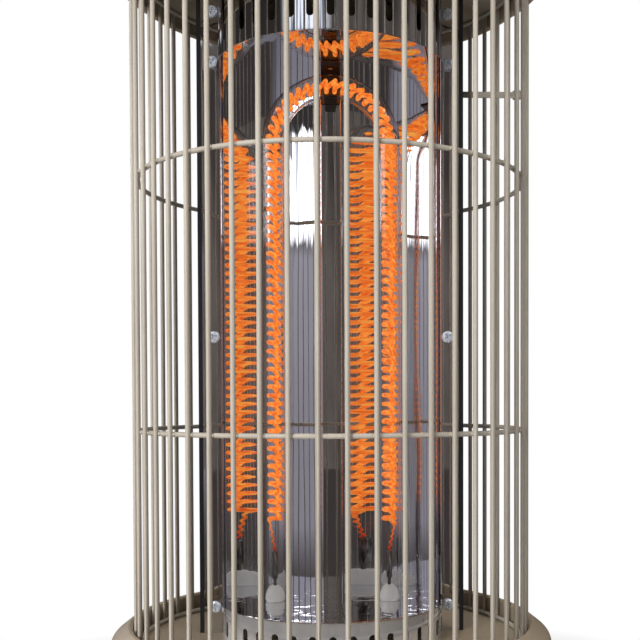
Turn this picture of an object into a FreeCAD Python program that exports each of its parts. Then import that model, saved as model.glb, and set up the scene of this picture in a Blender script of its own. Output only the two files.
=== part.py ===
import FreeCAD, Part
import math
import os
import Sketcher

# Quartz heater: a round pan base and a matching cap, a welded wire guard between them,
# and inside it a polished reflector drum with one U-shaped quartz tube and its coil.
# Millimetres. The origin is on the floor under the guard's axis, +Z is up, the front faces -Y.

Vector = FreeCAD.Vector
doc = FreeCAD.newDocument("quartz_heater")
sheet = doc.addObject("Spreadsheet::Sheet", "sizes")

DIMENSIONS = {
    # base pan
    "base_radius": 169,
    "base_height": 97,
    "base_lift": 8,
    "base_corner": 9,
    "base_slope_angle": 38,
    "sheet_gauge": 1.2,
    "shoulder_reach": 14,
    "lip_radius": 2.8,
    "channel_depth": 15,
    "tray_inset": 16,
    "tray_rise": 2.5,
    # bottom plate, posts and feet
    "post_inset": 16,
    "post_radius": 5,
    "post_bore": 2.2,
    "foot_radius": 14,
    "foot_tip_radius": 11.5,
    "foot_recess_radius": 6,
    "foot_recess_depth": 3,
    "foot_screw_radius": 2,
    "foot_screw_head_radius": 4,
    "foot_screw_head": 2.2,
    "foot_screw_grip": 14,
    # guard
    "wire_inset": 5,
    "wire_diameter": 3.5,
    "wire_count": 50,
    "ring_diameter": 3.5,
    "weld_gap": 0.1,
    "lower_ring_rise": 161.3,
    "upper_ring_rise": 348.5,
    # cap
    "cap_lip_drop": 11.3,
    "cap_inset": 2,
    "cap_rim": 9,
    "cap_corner": 12,
    "cap_height": 30,
    "cap_crown": 5,
    "cap_screw_radius": 1.8,
    "cap_screw_length": 7,
    "cap_screw_head_radius": 3.6,
    "cap_screw_head": 1.8,
    # reflector drum
    "drum_gauge": 0.8,
    "band_margin": 1,
    "plate_overhang": 1.5,
    "floor_rise": 26.5,
    "upper_band_height": 71.3,
    "slot_width": 5.5,
    "slot_pitch_angle": 9.5,
    "slot_count": 17,
    "slot_margin": 10.3,
    "lower_slot_length": 12,
    "upper_slot_length": 45,
    "flange_width": 14.7,
    "ridge_gap": 0.5,
    "flange_inset": 3.5,
    "rear_slot_width": 6,
    "rear_slot_length": 36,
    "rear_slot_count": 13,
    "rear_slot_pitch_angle": 9,
    "rear_slot_margin": 30,
    "tab_width": 16,
    "tab_reach": 12,
    "tab_margin": 18.8,
    "ear_height": 16,
    "ear_margin": 2,
    "flange_screw_inset": 5.9,
    "flange_screw_radius": 1.9,
    "flange_screw_head_radius": 4.7,
    "flange_screw_head": 2.6,
    "flange_screw_length": 7,
    "flange_screw_mid_rise": 204,
    "ear_screw_rise": 44,
    # quartz tube and coil
    "crown_gap": 5.1,
    "tube_standoff": 8,
    "tube_diameter": 18,
    "tube_wall": 1.2,
    "arch_rise": 351.3,
    "coil_diameter": 11,
    "coil_wire": 2.2,
    "coil_turn_count": 94,
    "coil_foot_rise": 60,
    "crimp_top_rise": 38.5,
    "crimp_length": 21,
    "crimp_radius": 2.2,
    "lead_radius": 1.2,
    "lead_drop": 14,
    "lead_hole_radius": 4,
    "bead_radius": 5.3,
    "bead_height": 12,
    "bead_collar": 3,
    # crown bracket
    "strap_width": 15,
    "hook_width": 9.4,
    "strap_gauge": 1.2,
    "strap_lap": 9,
    # stay at the right flank
    "stay_height": 4.6,
    "stay_thickness": 1.6,
    "stay_rise": 427,
    "stay_clip_wall": 1.6,
    "stay_clip_height": 6,
    "stay_wire_number": 14,
    # heat switch and knob
    "dish_height": 44,
    "dish_radius": 27,
    "dish_wall": 1.6,
    "dish_depth": 16,
    "dish_flange": 4,
    "knob_radius": 19,
    "knob_top_radius": 17,
    "knob_depth": 16,
    "knob_edge": 2,
    "knob_gap": 1,
    "flute_radius": 1.4,
    "flute_count": 20,
    "pointer_width": 2.4,
    "pointer_depth": 1,
    "shaft_radius": 3,
    "shaft_reach": 11,
    "switch_width": 32,
    "switch_depth": 17,
    "switch_neck_radius": 4.6,
    "switch_neck_stub": 1,
    "nut_flats": 14,
    "nut_height": 3,
    "tag_width": 6,
    "tag_length": 8,
    "tag_gauge": 0.8,
    # tip-over switch
    "tip_offset": 70,
    "tip_width": 22,
    "tip_depth": 16,
    "tip_height": 32,
    "tip_wall": 2,
    "tip_bore_radius": 5.4,
    "tip_travel": 6,
    "plunger_radius": 3,
    "plunger_collar_radius": 5,
    "plunger_collar": 2,
    "plunger_foot_radius": 5.5,
    "plunger_foot": 3,
    "plunger_ground_gap": 0.3,
    "plunger_stub": 8,
    "spring_wire": 0.8,
    "spring_turn_count": 6,
    # wiring inside the base, and the inlet
    "block_length": 46,
    "block_depth": 18,
    "block_height": 17,
    "block_offset": 62,
    "block_way_count": 4,
    "block_way_radius": 2.4,
    "cutout_radius": 8,
    "cutout_height": 7,
    "cutout_rim": 1.5,
    "cutout_offset": 45,
    "grommet_height": 30,
    "grommet_radius": 7,
    "grommet_bore": 4.2,
    "grommet_flange": 3,
    "grommet_lip": 1.8,
    # fits
    "clearance": 0.3,
    "running_fit": 0.08,
    "overrun": 5,
}
FOOT_ANGLES = (45, 135, 225, 315)
CAP_SCREW_ANGLES = (45, 135, 225, 315)
TAB_ANGLES = (25, 90, 155)
TUBE_SPREAD_SHARE = 44.3 / 85
TROUGH_RADIUS_SHARE = 58 / 85
TROUGH_DEPTH_SHARE = 26 / 85
TROUGH_SHIFT_SHARE = 5 / 85
RIDGE_SHARE = 9 / 85
DOME_SHARE = 0.78
NUT_CLEAR_SHARE = 0.75
FLUTE_OFFSET_SHARE = 0.45
POINTER_START_SHARE = 0.35
TAG_SPREAD_SHARE = 0.6
SPRING_LEAD_SHARE = 0.12
SPRING_END_SHARE = 0.15
SMALL_STEP_SHARE = 1e-6
POINTS_PER_HALF_TURN = 6
NEIGHBOUR_TURNS = 6

for row, (alias, amount) in enumerate(DIMENSIONS.items(), 1):
    sheet.set("A%d" % row, alias)
    sheet.set("B%d" % row, str(amount))
    sheet.setAlias("B%d" % row, alias)
doc.recompute()


class Size:
    """A size together with the sheet expression that gives it."""

    def __init__(self, value, text):
        self.value = value
        self.text = text

    def __add__(self, other):
        return combine(self, "+", other, self.value + as_size(other).value)

    def __radd__(self, other):
        return as_size(other) + self

    def __sub__(self, other):
        return combine(self, "-", other, self.value - as_size(other).value)

    def __rsub__(self, other):
        return as_size(other) - self

    def __mul__(self, other):
        return combine(self, "*", other, self.value * as_size(other).value)

    def __rmul__(self, other):
        return as_size(other) * self

    def __truediv__(self, other):
        return combine(self, "/", other, self.value / as_size(other).value)

    def __neg__(self):
        return as_size(0) - self


def as_size(amount):
    if isinstance(amount, Size):
        return amount
    return Size(float(amount), repr(float(amount)))


def combine(first, sign, second, value):
    return Size(value, "(%s %s %s)" % (first.text, sign, as_size(second).text))


def root(amount):
    return Size(math.sqrt(amount.value), "sqrt(%s)" % amount.text)


def sine(angle):
    angle = as_size(angle)
    return Size(math.sin(math.radians(angle.value)), "sin(%s)" % angle.text)


def cosine(angle):
    angle = as_size(angle)
    return Size(math.cos(math.radians(angle.value)), "cos(%s)" % angle.text)


def size(alias):
    return Size(float(sheet.get(alias)), "sizes.%s" % alias)


def across(radius, offset):
    """Half the chord of a circle at a distance from its centre."""
    return root(radius * radius - offset * offset)


def dome(radius, height):
    """A point halfway out on a round cap of a given radius and height that meets its axis squarely."""
    ball = (radius * radius + height * height) / (2 * height)
    return radius / 2, height - ball + across(ball, radius / 2)


nodes = []


def keep(thing, label):
    thing.Label = label
    nodes.append(thing)
    return thing


def bind(thing, name, amount):
    thing.setExpression(name, as_size(amount).text)


def place(thing, x, y, z, turn=FreeCAD.Rotation()):
    thing.Placement = FreeCAD.Placement(Vector(), turn)
    for axis, amount in zip("xyz", (x, y, z)):
        bind(thing, "Placement.Base." + axis, amount)
    return thing


FRONTWARD = FreeCAD.Rotation(Vector(1, 0, 0), 90)
REARWARD = FreeCAD.Rotation(Vector(1, 0, 0), -90)
UPSIDE_DOWN = FreeCAD.Rotation(Vector(1, 0, 0), 180)


def rod(name, radius, length, x=0, y=0, z=0, turn=FreeCAD.Rotation()):
    thing = doc.addObject("Part::Cylinder", name)
    bind(thing, "Radius", radius)
    bind(thing, "Height", length)
    return place(thing, x, y, z, turn)


def block(name, length, depth, height, x=0, y=0, z=0, turn=FreeCAD.Rotation()):
    thing = doc.addObject("Part::Box", name)
    for side, amount in (("Length", length), ("Width", depth), ("Height", height)):
        bind(thing, side, amount)
    return place(thing, x, y, z, turn)


def cut(name, base, tool):
    thing = doc.addObject("Part::Cut", name)
    thing.Base = base
    thing.Tool = tool
    return thing


def common(name, base, tool):
    thing = doc.addObject("Part::Common", name)
    thing.Base = base
    thing.Tool = tool
    return thing


def fuse(name, base, tool):
    thing = doc.addObject("Part::Fuse", name)
    thing.Base = base
    thing.Tool = tool
    return thing


def group(label, things):
    compound = doc.addObject("Part::Compound", label)
    compound.Links = things
    return keep(compound, label)


def new_body(name):
    return doc.addObject("PartDesign::Body", name)


def plane_of(body, role):
    return next(f for f in body.Origin.OriginFeatures if f.Role == role)


def sketch_on(body, name, role, lift=0, swing=None):
    """An empty sketch on one of the body's own planes, lifted along its normal."""
    sketch = body.newObject("Sketcher::SketchObject", name)
    sketch.AttachmentSupport = [(plane_of(body, role), "")]
    sketch.MapMode = "FlatFace"
    if swing is not None:
        sketch.AttachmentOffset = FreeCAD.Placement(Vector(), FreeCAD.Rotation(Vector(0, 1, 0), swing.value))
        bind(sketch, "AttachmentOffset.Rotation.Angle", swing)
    bind(sketch, "AttachmentOffset.Base.z", lift)
    return sketch


def pin_point(sketch, geometry, end, x, y):
    """Hold one end of a sketch line at a place that the sheet gives."""
    for kind, amount in (("DistanceX", x), ("DistanceY", y)):
        amount = as_size(amount)
        number = sketch.addConstraint(Sketcher.Constraint(kind, -1, 1, geometry, end, amount.value))
        bind(sketch, "Constraints[%d]" % number, amount)


def outline(sketch, corners):
    """A closed line through corners; a corner of four values is reached by an arc through the last two."""
    ends = [Vector(as_size(c[0]).value, as_size(c[1]).value, 0) for c in corners]
    lines = []
    for index, corner in enumerate(corners):
        start, end = ends[index - 1], ends[index]
        if len(corner) == 2:
            lines.append(sketch.addGeometry(Part.LineSegment(start, end), False))
            continue
        middle = Vector(as_size(corner[2]).value, as_size(corner[3]).value, 0)
        arc = Part.Arc(start, middle, end)
        lines.append(sketch.addGeometry(arc, False))
    for index, corner in enumerate(corners):
        line, after = lines[index], lines[(index + 1) % len(lines)]
        finish = end_at(sketch, line, ends[index])
        begin = end_at(sketch, after, ends[index])
        sketch.addConstraint(Sketcher.Constraint("Coincident", line, finish, after, begin))
        pin_point(sketch, line, finish, corner[0], corner[1])
        if len(corner) == 4:
            middle = Vector(as_size(corner[2]).value, as_size(corner[3]).value, 0)
            mark = sketch.addGeometry(Part.Point(middle), True)
            pin_point(sketch, mark, 1, corner[2], corner[3])
            sketch.addConstraint(Sketcher.Constraint("PointOnObject", mark, 1, line))
    return sketch


def end_at(sketch, line, point):
    """Which end of a sketch line lies at a point: 1 is its start and 2 is its end."""
    nearest = sketch.getPoint(line, 1).distanceToPoint(point)
    return 1 if nearest < sketch.getPoint(line, 2).distanceToPoint(point) else 2


def circle(sketch, x, y, radius):
    ring = Part.Circle(Vector(as_size(x).value, as_size(y).value, 0), Vector(0, 0, 1), radius.value)
    number = sketch.addGeometry(ring, False)
    pin_point(sketch, number, 3, x, y)
    held = sketch.addConstraint(Sketcher.Constraint("Radius", number, radius.value))
    bind(sketch, "Constraints[%d]" % held, radius)
    return sketch


def rectangle(sketch, left, low, right, high):
    return outline(sketch, [(left, low), (right, low), (right, high), (left, high)])


def slot(sketch, x, low, high, width):
    """An upright slot with round ends."""
    half = width / 2
    return outline(sketch, [
        (x - half, low + half),
        (x + half, low + half, x, low),
        (x + half, high - half),
        (x - half, high - half, x, high),
    ])


def pad(body, name, sketch, length, reverse=False):
    feature = body.newObject("PartDesign::Pad", name)
    feature.Profile = sketch
    feature.Reversed = reverse
    bind(feature, "Length", length)
    return feature


def pocket(body, name, sketch, length=None, reverse=False):
    """A cut against the sketch's normal, right through where no length is given."""
    doc.recompute()
    before = body.Shape.Volume
    feature = body.newObject("PartDesign::Pocket", name)
    feature.Profile = sketch
    feature.Reversed = reverse
    if length is None:
        feature.Type = "ThroughAll"
    else:
        bind(feature, "Length", length)
    doc.recompute()
    if not body.Shape.Volume < before:
        raise RuntimeError("%s in %s cuts nothing" % (name, body.Name))
    return feature


def revolve(body, name, sketch, angle=360, reverse=False):
    feature = body.newObject("PartDesign::Revolution", name)
    feature.Profile = sketch
    feature.ReferenceAxis = (sketch, ["V_Axis"])
    feature.Reversed = reverse
    feature.Angle = angle
    return feature


def repeat_round(body, name, feature, count, angle):
    """Copies of a feature about the upright axis; angle is from the first copy to the last."""
    doc.recompute()
    pattern = body.newObject("PartDesign::PolarPattern", name)
    pattern.Originals = [feature]
    pattern.Axis = (plane_of(body, "Z_Axis"), [""])
    bind(pattern, "Angle", angle)
    bind(pattern, "Occurrences", count)
    body.Tip = pattern
    doc.recompute()
    return pattern


# Levels and radii that several pieces share
gauge = size("sheet_gauge")
drum_gauge = size("drum_gauge")
clearance = size("clearance")
overrun = size("overrun")
running_fit = size("running_fit")
lift = size("base_lift")
channel_level = size("base_height") - size("channel_depth")
tray_level = channel_level + size("tray_rise")
plate_top = lift + gauge
cap_radius = size("base_radius") - size("cap_inset")
lip_circle = size("base_radius") - size("shoulder_reach")
lip_inside = lip_circle - size("lip_radius")
wire_circle = lip_circle - size("wire_inset")
wire_radius = size("wire_diameter") / 2
ring_radius = size("ring_diameter") / 2
ring_circle = wire_circle - wire_radius - ring_radius - size("weld_gap")
tray_radius = wire_circle - size("tray_inset")
post_circle = tray_radius - size("post_inset")
rear_radius = tray_radius - size("tab_margin") - size("tab_reach")
tab_screw_circle = rear_radius + size("tab_reach") / 2
flange_reach = rear_radius - size("flange_inset")
half_opening = flange_reach - size("flange_width")
drum_radius = half_opening + size("band_margin")
trough_radius = half_opening * TROUGH_RADIUS_SHARE
trough_depth = half_opening * TROUGH_DEPTH_SHARE
tube_spread = half_opening * TUBE_SPREAD_SHARE
tube_radius = size("tube_diameter") / 2
tube_y = -size("tube_standoff")
web_front = tube_y + tube_radius + clearance
floor_level = tray_level + size("floor_rise")
arch_level = floor_level + size("arch_rise")
ceiling_level = arch_level + tube_spread + tube_radius + size("crown_gap")
cap_level = ceiling_level + size("upper_band_height")
dish_floor = size("base_radius") - size("dish_depth")


def polar(radius, angle):
    return radius * cosine(angle), radius * sine(angle)


def base_shell():
    """One deep-drawn pan: skirt, conical shoulder, rolled lip, channel for the guard and raised tray."""
    slope_sine = sine(size("base_slope_angle"))
    slope_cosine = cosine(size("base_slope_angle"))
    outer, corner = size("base_radius"), size("base_corner")
    lip, lip_at = size("lip_radius"), lip_circle
    lip_level = size("base_height") - lip
    corner_at = outer - corner
    step = slope_sine * (lip_at - corner_at) + lip - corner
    corner_level = lip_level + step / slope_cosine
    crest_sine = sine(size("base_slope_angle") / 2 - 45)
    crest_cosine = cosine(size("base_slope_angle") / 2 - 45)
    bend_sine = sine(45 - size("base_slope_angle") / 2)
    bend_cosine = cosine(45 - size("base_slope_angle") / 2)

    def shoulder(inset):
        """Points of the shoulder, from the skirt to the lip's inner wall, set in by the sheet's gauge."""
        bend, curl = corner - inset, lip - inset
        return [
            (outer - inset, corner_level),
            (corner_at + bend * slope_sine, corner_level + bend * slope_cosine,
             corner_at + bend * bend_cosine, corner_level + bend * bend_sine),
            (lip_at + curl * slope_sine, lip_level + curl * slope_cosine),
            (lip_at - curl, lip_level, lip_at + curl * crest_sine, lip_level + curl * crest_cosine),
        ]

    body = new_body("base_shell")
    profile = sketch_on(body, "pan_section", "XZ_Plane")
    tray = tray_radius
    over = shoulder(as_size(0))
    under = shoulder(gauge)
    returned = [
        under[3][:2],
        (under[2][0], under[2][1]) + under[3][2:],
        under[1][:2],
        (under[0][0], under[0][1]) + under[1][2:],
    ]
    outline(profile, [(outer, lift)] + over + [
        (lip_inside, channel_level),
        (tray, channel_level),
        (tray, tray_level),
        (0, tray_level),
        (0, tray_level - gauge),
        (tray - gauge, tray_level - gauge),
        (tray - gauge, channel_level - gauge),
        (lip_inside + gauge, channel_level - gauge),
    ] + returned + [(outer - gauge, lift)])
    revolve(body, "pan", profile)
    dish_hole = sketch_on(body, "dish_hole_outline", "XZ_Plane")
    circle(dish_hole, 0, size("dish_height"), size("dish_radius") + clearance)
    pocket(body, "dish_hole", dish_hole, reverse=True)
    inlet = sketch_on(body, "inlet_outline", "XZ_Plane")
    circle(inlet, 0, size("grommet_height"), size("grommet_radius") + running_fit)
    pocket(body, "inlet", inlet)
    holes = sketch_on(body, "tray_hole_outlines", "XY_Plane")
    for side in (-1, 1):
        circle(holes, side * tube_spread, tube_y, size("lead_hole_radius"))
    for angle in TAB_ANGLES:
        x, y = polar(tab_screw_circle, angle)
        circle(holes, x, y, size("flange_screw_radius") + clearance)
    pocket(body, "tray_holes", holes, reverse=True)
    keep(body, "base_shell")


def bottom_plate():
    body = new_body("bottom_plate")
    disc = sketch_on(body, "disc_outline", "XY_Plane", lift)
    circle(disc, 0, 0, size("base_radius") - gauge - clearance)
    circle(disc, size("tip_offset"), 0, size("plunger_radius") + clearance)
    for angle in FOOT_ANGLES:
        x, y = polar(post_circle, angle)
        circle(disc, x, y, size("foot_screw_radius") + clearance)
    pad(body, "disc", disc, gauge)
    keep(body, "bottom_plate")


def turned(name, profile):
    """A body turned about its own upright axis from a closed profile of radii and levels."""
    body = new_body(name)
    outline(sketch_on(body, "profile", "XZ_Plane"), profile)
    revolve(body, "turning", body.Group[-1])
    return body


def feet_and_posts():
    post_length = tray_level - gauge - plate_top
    foot, tip = size("foot_radius"), size("foot_tip_radius")
    recess, shank = size("foot_recess_radius"), size("foot_screw_radius")
    seat = size("foot_recess_depth")
    posts, feet, screws = [], [], []
    for angle in FOOT_ANGLES:
        x, y = polar(post_circle, angle)
        posts.append(turned("post_%d" % angle, [
            (size("post_bore"), 0),
            (size("post_radius"), 0),
            (size("post_radius"), post_length),
            (size("post_bore"), post_length),
        ]))
        place(posts[-1], x, y, plate_top)
        feet.append(turned("foot_%d" % angle, [
            (recess, 0),
            (tip, 0),
            (foot, lift),
            (shank + clearance, lift),
            (shank + clearance, seat),
            (recess, seat),
        ]))
        place(feet[-1], x, y, 0)
        screws.append(turned("foot_screw_%d" % angle, [
            (0, 0),
            (size("foot_screw_head_radius"), 0),
            (size("foot_screw_head_radius"), size("foot_screw_head")),
            (shank, size("foot_screw_head")),
            (shank, size("foot_screw_head") + size("foot_screw_grip")),
            (0, size("foot_screw_head") + size("foot_screw_grip")),
        ]))
        place(screws[-1], x, y, seat - size("foot_screw_head"))
    group("base_posts", posts)
    group("rubber_feet", feet)
    group("foot_screws", screws)


def guard():
    """Upright wires on a circle, and four rings welded inside them."""
    pitch = as_size(360) / size("wire_count")
    wires = []
    for number in range(int(size("wire_count").value)):
        angle = (number + 0.5) * pitch - 90
        x, y = polar(wire_circle, angle)
        wires.append(rod("wire_%d" % number, wire_radius, cap_level - channel_level, x, y, channel_level))
    group("guard_wires", wires)
    rings = {
        "guard_bottom_ring": channel_level + ring_radius,
        "guard_lower_ring": channel_level + size("lower_ring_rise"),
        "guard_upper_ring": channel_level + size("upper_ring_rise"),
        "guard_top_ring": cap_level - ring_radius,
    }
    for label, level in rings.items():
        ring = doc.addObject("Part::Torus", label)
        bind(ring, "Radius1", ring_circle)
        bind(ring, "Radius2", ring_radius)
        place(ring, 0, 0, level)
        keep(ring, label)


def guard_stay():
    """A level strap from the drum's rear cover to one guard wire, which it clips round."""
    angle = (size("stay_wire_number") - 0.5) * as_size(360) / size("wire_count") - 90
    x, y = polar(wire_circle, angle)
    level = channel_level + size("stay_rise")
    clip_radius = wire_radius + running_fit + size("stay_clip_wall")
    clip_low = level - size("stay_clip_height") / 2
    strap = block("stay_strap", x - size("stay_clip_wall"), size("stay_thickness"), size("stay_height"),
                  0, y - size("stay_thickness") / 2, level - size("stay_height") / 2)
    clip = rod("stay_clip", clip_radius, size("stay_clip_height"), x, y, clip_low)
    clear = rod("stay_drum_clearance", rear_radius + running_fit, size("stay_clip_height"), 0, 0, clip_low)
    bore = rod("stay_wire_bore", wire_radius + running_fit, size("stay_clip_height"), x, y, clip_low)
    whole = fuse("stay_blank", strap, clip)
    trimmed = cut("stay_trimmed", whole, clear)
    keep(cut("guard_stay", trimmed, bore), "guard_stay")


def cap():
    """A pressed pan under a shallow lid, held by screws through their rims."""
    slope_sine = sine(size("base_slope_angle"))
    slope_cosine = cosine(size("base_slope_angle"))
    lip, lip_at = size("lip_radius"), lip_circle
    rim = cap_radius - gauge - running_fit
    low = cap_level - size("cap_lip_drop")
    lip_level = low + lip
    rise = (rim - lip_at - lip * slope_sine) * slope_sine / slope_cosine
    edge_level = lip_level - lip * slope_cosine + rise
    inner_edge_level = edge_level + gauge / slope_cosine
    fold = sine(45 + size("base_slope_angle") / 2)
    fold_cosine = cosine(45 + size("base_slope_angle") / 2)

    def curl(radius):
        """The middle of the lip's underside, between its inner wall and the cone."""
        return lip_at - radius * fold_cosine, lip_level - radius * fold

    pan = turned("cap_pan", [
        (0, cap_level),
        (lip_inside, cap_level),
        (lip_inside, lip_level),
        (lip_at + lip * slope_sine, lip_level - lip * slope_cosine) + curl(lip),
        (rim, edge_level),
        (rim, edge_level + size("cap_rim")),
        (rim - gauge, edge_level + size("cap_rim")),
        (rim - gauge, inner_edge_level),
        (lip_at + (lip - gauge) * slope_sine, lip_level - (lip - gauge) * slope_cosine),
        (lip_inside + gauge, lip_level) + curl(lip - gauge),
        (lip_inside + gauge, cap_level + gauge),
        (0, cap_level + gauge),
    ])
    holes = sketch_on(pan, "tab_screw_outlines", "XY_Plane")
    for angle in TAB_ANGLES:
        x, y = polar(tab_screw_circle, angle)
        circle(holes, x, y, size("flange_screw_radius") + clearance)
    pocket(pan, "tab_screw_holes", holes, reverse=True)
    keep(pan, "cap_pan")

    outer, corner = cap_radius, size("cap_corner")
    lid_low = edge_level + running_fit
    shoulder = cap_level + size("cap_height") - size("cap_crown")
    top = cap_level + size("cap_height")
    diagonal = cosine(45)
    flat = outer - corner
    crown_x, crown_rise = dome(flat, size("cap_crown"))
    lid = turned("top_cap", [
        (outer, lid_low),
        (outer, shoulder - corner),
        (flat, shoulder, flat + corner * diagonal, shoulder - corner + corner * diagonal),
        (0, top, crown_x, shoulder + crown_rise),
        (0, top - gauge),
        (flat, shoulder - gauge, crown_x, shoulder + crown_rise - gauge),
        (outer - gauge, shoulder - corner,
         flat + (corner - gauge) * diagonal, shoulder - corner + (corner - gauge) * diagonal),
        (outer - gauge, lid_low),
    ])
    screw_level = edge_level + size("cap_rim") / 2
    for body in (pan, lid):
        hole = sketch_on(body, "rim_screw_outline", "XZ_Plane", swing=as_size(CAP_SCREW_ANGLES[0]))
        circle(hole, 0, screw_level, size("cap_screw_radius") + running_fit)
        first = pocket(body, "rim_screw_hole", hole)
        repeat_round(body, "rim_screw_holes", first, as_size(len(CAP_SCREW_ANGLES)), as_size(360))
    keep(lid, "top_cap")
    screws = []
    for angle in CAP_SCREW_ANGLES:
        head, height = size("cap_screw_head_radius"), size("cap_screw_head")
        screw = turned("cap_screw_%d" % angle, [
            (0, -size("cap_screw_length")),
            (size("cap_screw_radius"), -size("cap_screw_length")),
            (size("cap_screw_radius"), running_fit),
            (head, running_fit),
            (0, running_fit + height, dome(head, height)[0], running_fit + dome(head, height)[1]),
        ])
        x, y = polar(outer, angle)
        outward = FreeCAD.Rotation(Vector(0, 0, 1), Vector(x.value, y.value, 0))
        screws.append(place(screw, x, y, screw_level, outward))
    group("cap_screws", screws)


def drum_plate(label, level, holes):
    """A plate with a round front, closing the reflector's troughs above or below."""
    front = drum_radius + size("plate_overhang")
    line = -drum_gauge - drum_gauge - running_fit
    side = half_opening - clearance
    back = trough_depth + drum_gauge
    body = new_body(label)
    profile = sketch_on(body, "plate_outline", "XY_Plane", level)
    outline(profile, [
        (-across(front, line), line),
        (across(front, line), line, 0, -front),
        (side, line),
        (side, back),
        (-side, back),
        (-side, line),
    ])
    for x, y, radius in holes:
        circle(profile, x, y, radius)
    pad(body, "plate", profile, drum_gauge)
    keep(body, label)


def vent_band(label, low, high, slot_low, slot_high, screw_level):
    """Half a cylinder with a row of slots and an ear at each end, which lies on the flange."""
    body = new_body(label)
    outer = drum_radius
    inner = outer - drum_gauge
    line = -drum_gauge
    wall = sketch_on(body, "wall_outline", "XY_Plane", low)
    outline(wall, [
        (across(outer, line), line),
        (-across(outer, line), line, 0, -outer),
        (-across(inner, line), line),
        (across(inner, line), line, 0, -inner),
    ])
    pad(body, "wall", wall, high - low)
    ears = sketch_on(body, "ear_outlines", "XY_Plane", screw_level - size("ear_height") / 2)
    for side in (-1, 1):
        near = side * across(inner, line - drum_gauge)
        far = side * (flange_reach - size("ear_margin"))
        rectangle(ears, near, line - drum_gauge, far, line)
    pad(body, "ears", ears, size("ear_height"))
    screw_holes = sketch_on(body, "screw_hole_outlines", "XZ_Plane")
    for side in (-1, 1):
        circle(screw_holes, side * flange_screw_at, screw_level, size("flange_screw_radius") + running_fit)
    pocket(body, "screw_holes", screw_holes, reverse=True)
    half_span = size("slot_pitch_angle") * (size("slot_count") - 1) / 2
    first = sketch_on(body, "slot_outline", "XZ_Plane", swing=half_span)
    slot(first, 0, slot_low, slot_high, size("slot_width"))
    first_cut = pocket(body, "first_slot", first, reverse=True)
    repeat_round(body, "slots", first_cut, size("slot_count"), -half_span * 2)
    keep(body, label)


flange_screw_at = half_opening + size("flange_screw_inset")
screw_room = drum_gauge + size("flange_screw_head_radius") + clearance
flange_screw_levels = (
    floor_level - screw_room,
    floor_level + size("flange_screw_mid_rise"),
    ceiling_level + screw_room,
    ceiling_level + size("ear_screw_rise"),
)


def reflector():
    """One polished sheet: two troughs with a ridge between them, and a flange down each side."""
    half, ridge = half_opening, half_opening * RIDGE_SHARE
    depth, radius, shift = trough_depth, trough_radius, half_opening * TROUGH_SHIFT_SHARE
    nose = web_front + size("strap_gauge") + size("ridge_gap")

    def trough(side, inset):
        """A trough from its left edge to its right edge, with its deepest point left of the tube."""
        middle = side * tube_spread - shift
        centre_y = depth - radius
        foot = ridge - inset
        ends = (-half, -foot) if side < 0 else (foot, half)
        left, right = [(x, centre_y + across(radius + inset, x - middle)) for x in ends]
        return left, right, (middle, depth + inset)

    left = trough(-1, as_size(0))
    right = trough(1, as_size(0))
    left_back = trough(-1, drum_gauge)
    right_back = trough(1, drum_gauge)
    body = new_body("reflector")
    profile = sketch_on(body, "trough_section", "XY_Plane", floor_level)
    outline(profile, [
        (-flange_reach, -drum_gauge),
        (-half, -drum_gauge),
        left[0],
        left[1] + left[2],
        (ridge, left[1][1], as_size(0), nose),
        right[0],
        right[1] + right[2],
        (half, -drum_gauge),
        (flange_reach, -drum_gauge),
        (flange_reach, 0),
        (half + drum_gauge, 0),
        (half + drum_gauge, right_back[1][1]),
        right_back[0] + right_back[2],
        (ridge - drum_gauge, left_back[1][1]),
        left_back[1] + (as_size(0), nose + drum_gauge),
        (-half - drum_gauge, left_back[0][1]) + left_back[2],
        (-half - drum_gauge, 0),
        (-flange_reach, 0),
    ])
    pad(body, "troughs", profile, ceiling_level - floor_level)
    strips = sketch_on(body, "strip_outlines", "XY_Plane", tray_level)
    for side in (-1, 1):
        rectangle(strips, side * half, -drum_gauge, side * flange_reach, 0)
    pad(body, "strips", strips, cap_level - tray_level)
    holes = sketch_on(body, "screw_hole_outlines", "XZ_Plane", -overrun)
    for side in (-1, 1):
        for level in flange_screw_levels:
            circle(holes, side * flange_screw_at, level, size("flange_screw_radius") + running_fit)
    pocket(body, "screw_holes", holes, reverse=True)
    keep(body, "reflector")


def tab_corner(angle, radius, offset):
    """A point at a radius along an angle, moved sideways."""
    x = radius * cosine(angle) - offset * sine(angle)
    y = radius * sine(angle) + offset * cosine(angle)
    return x, y


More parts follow.
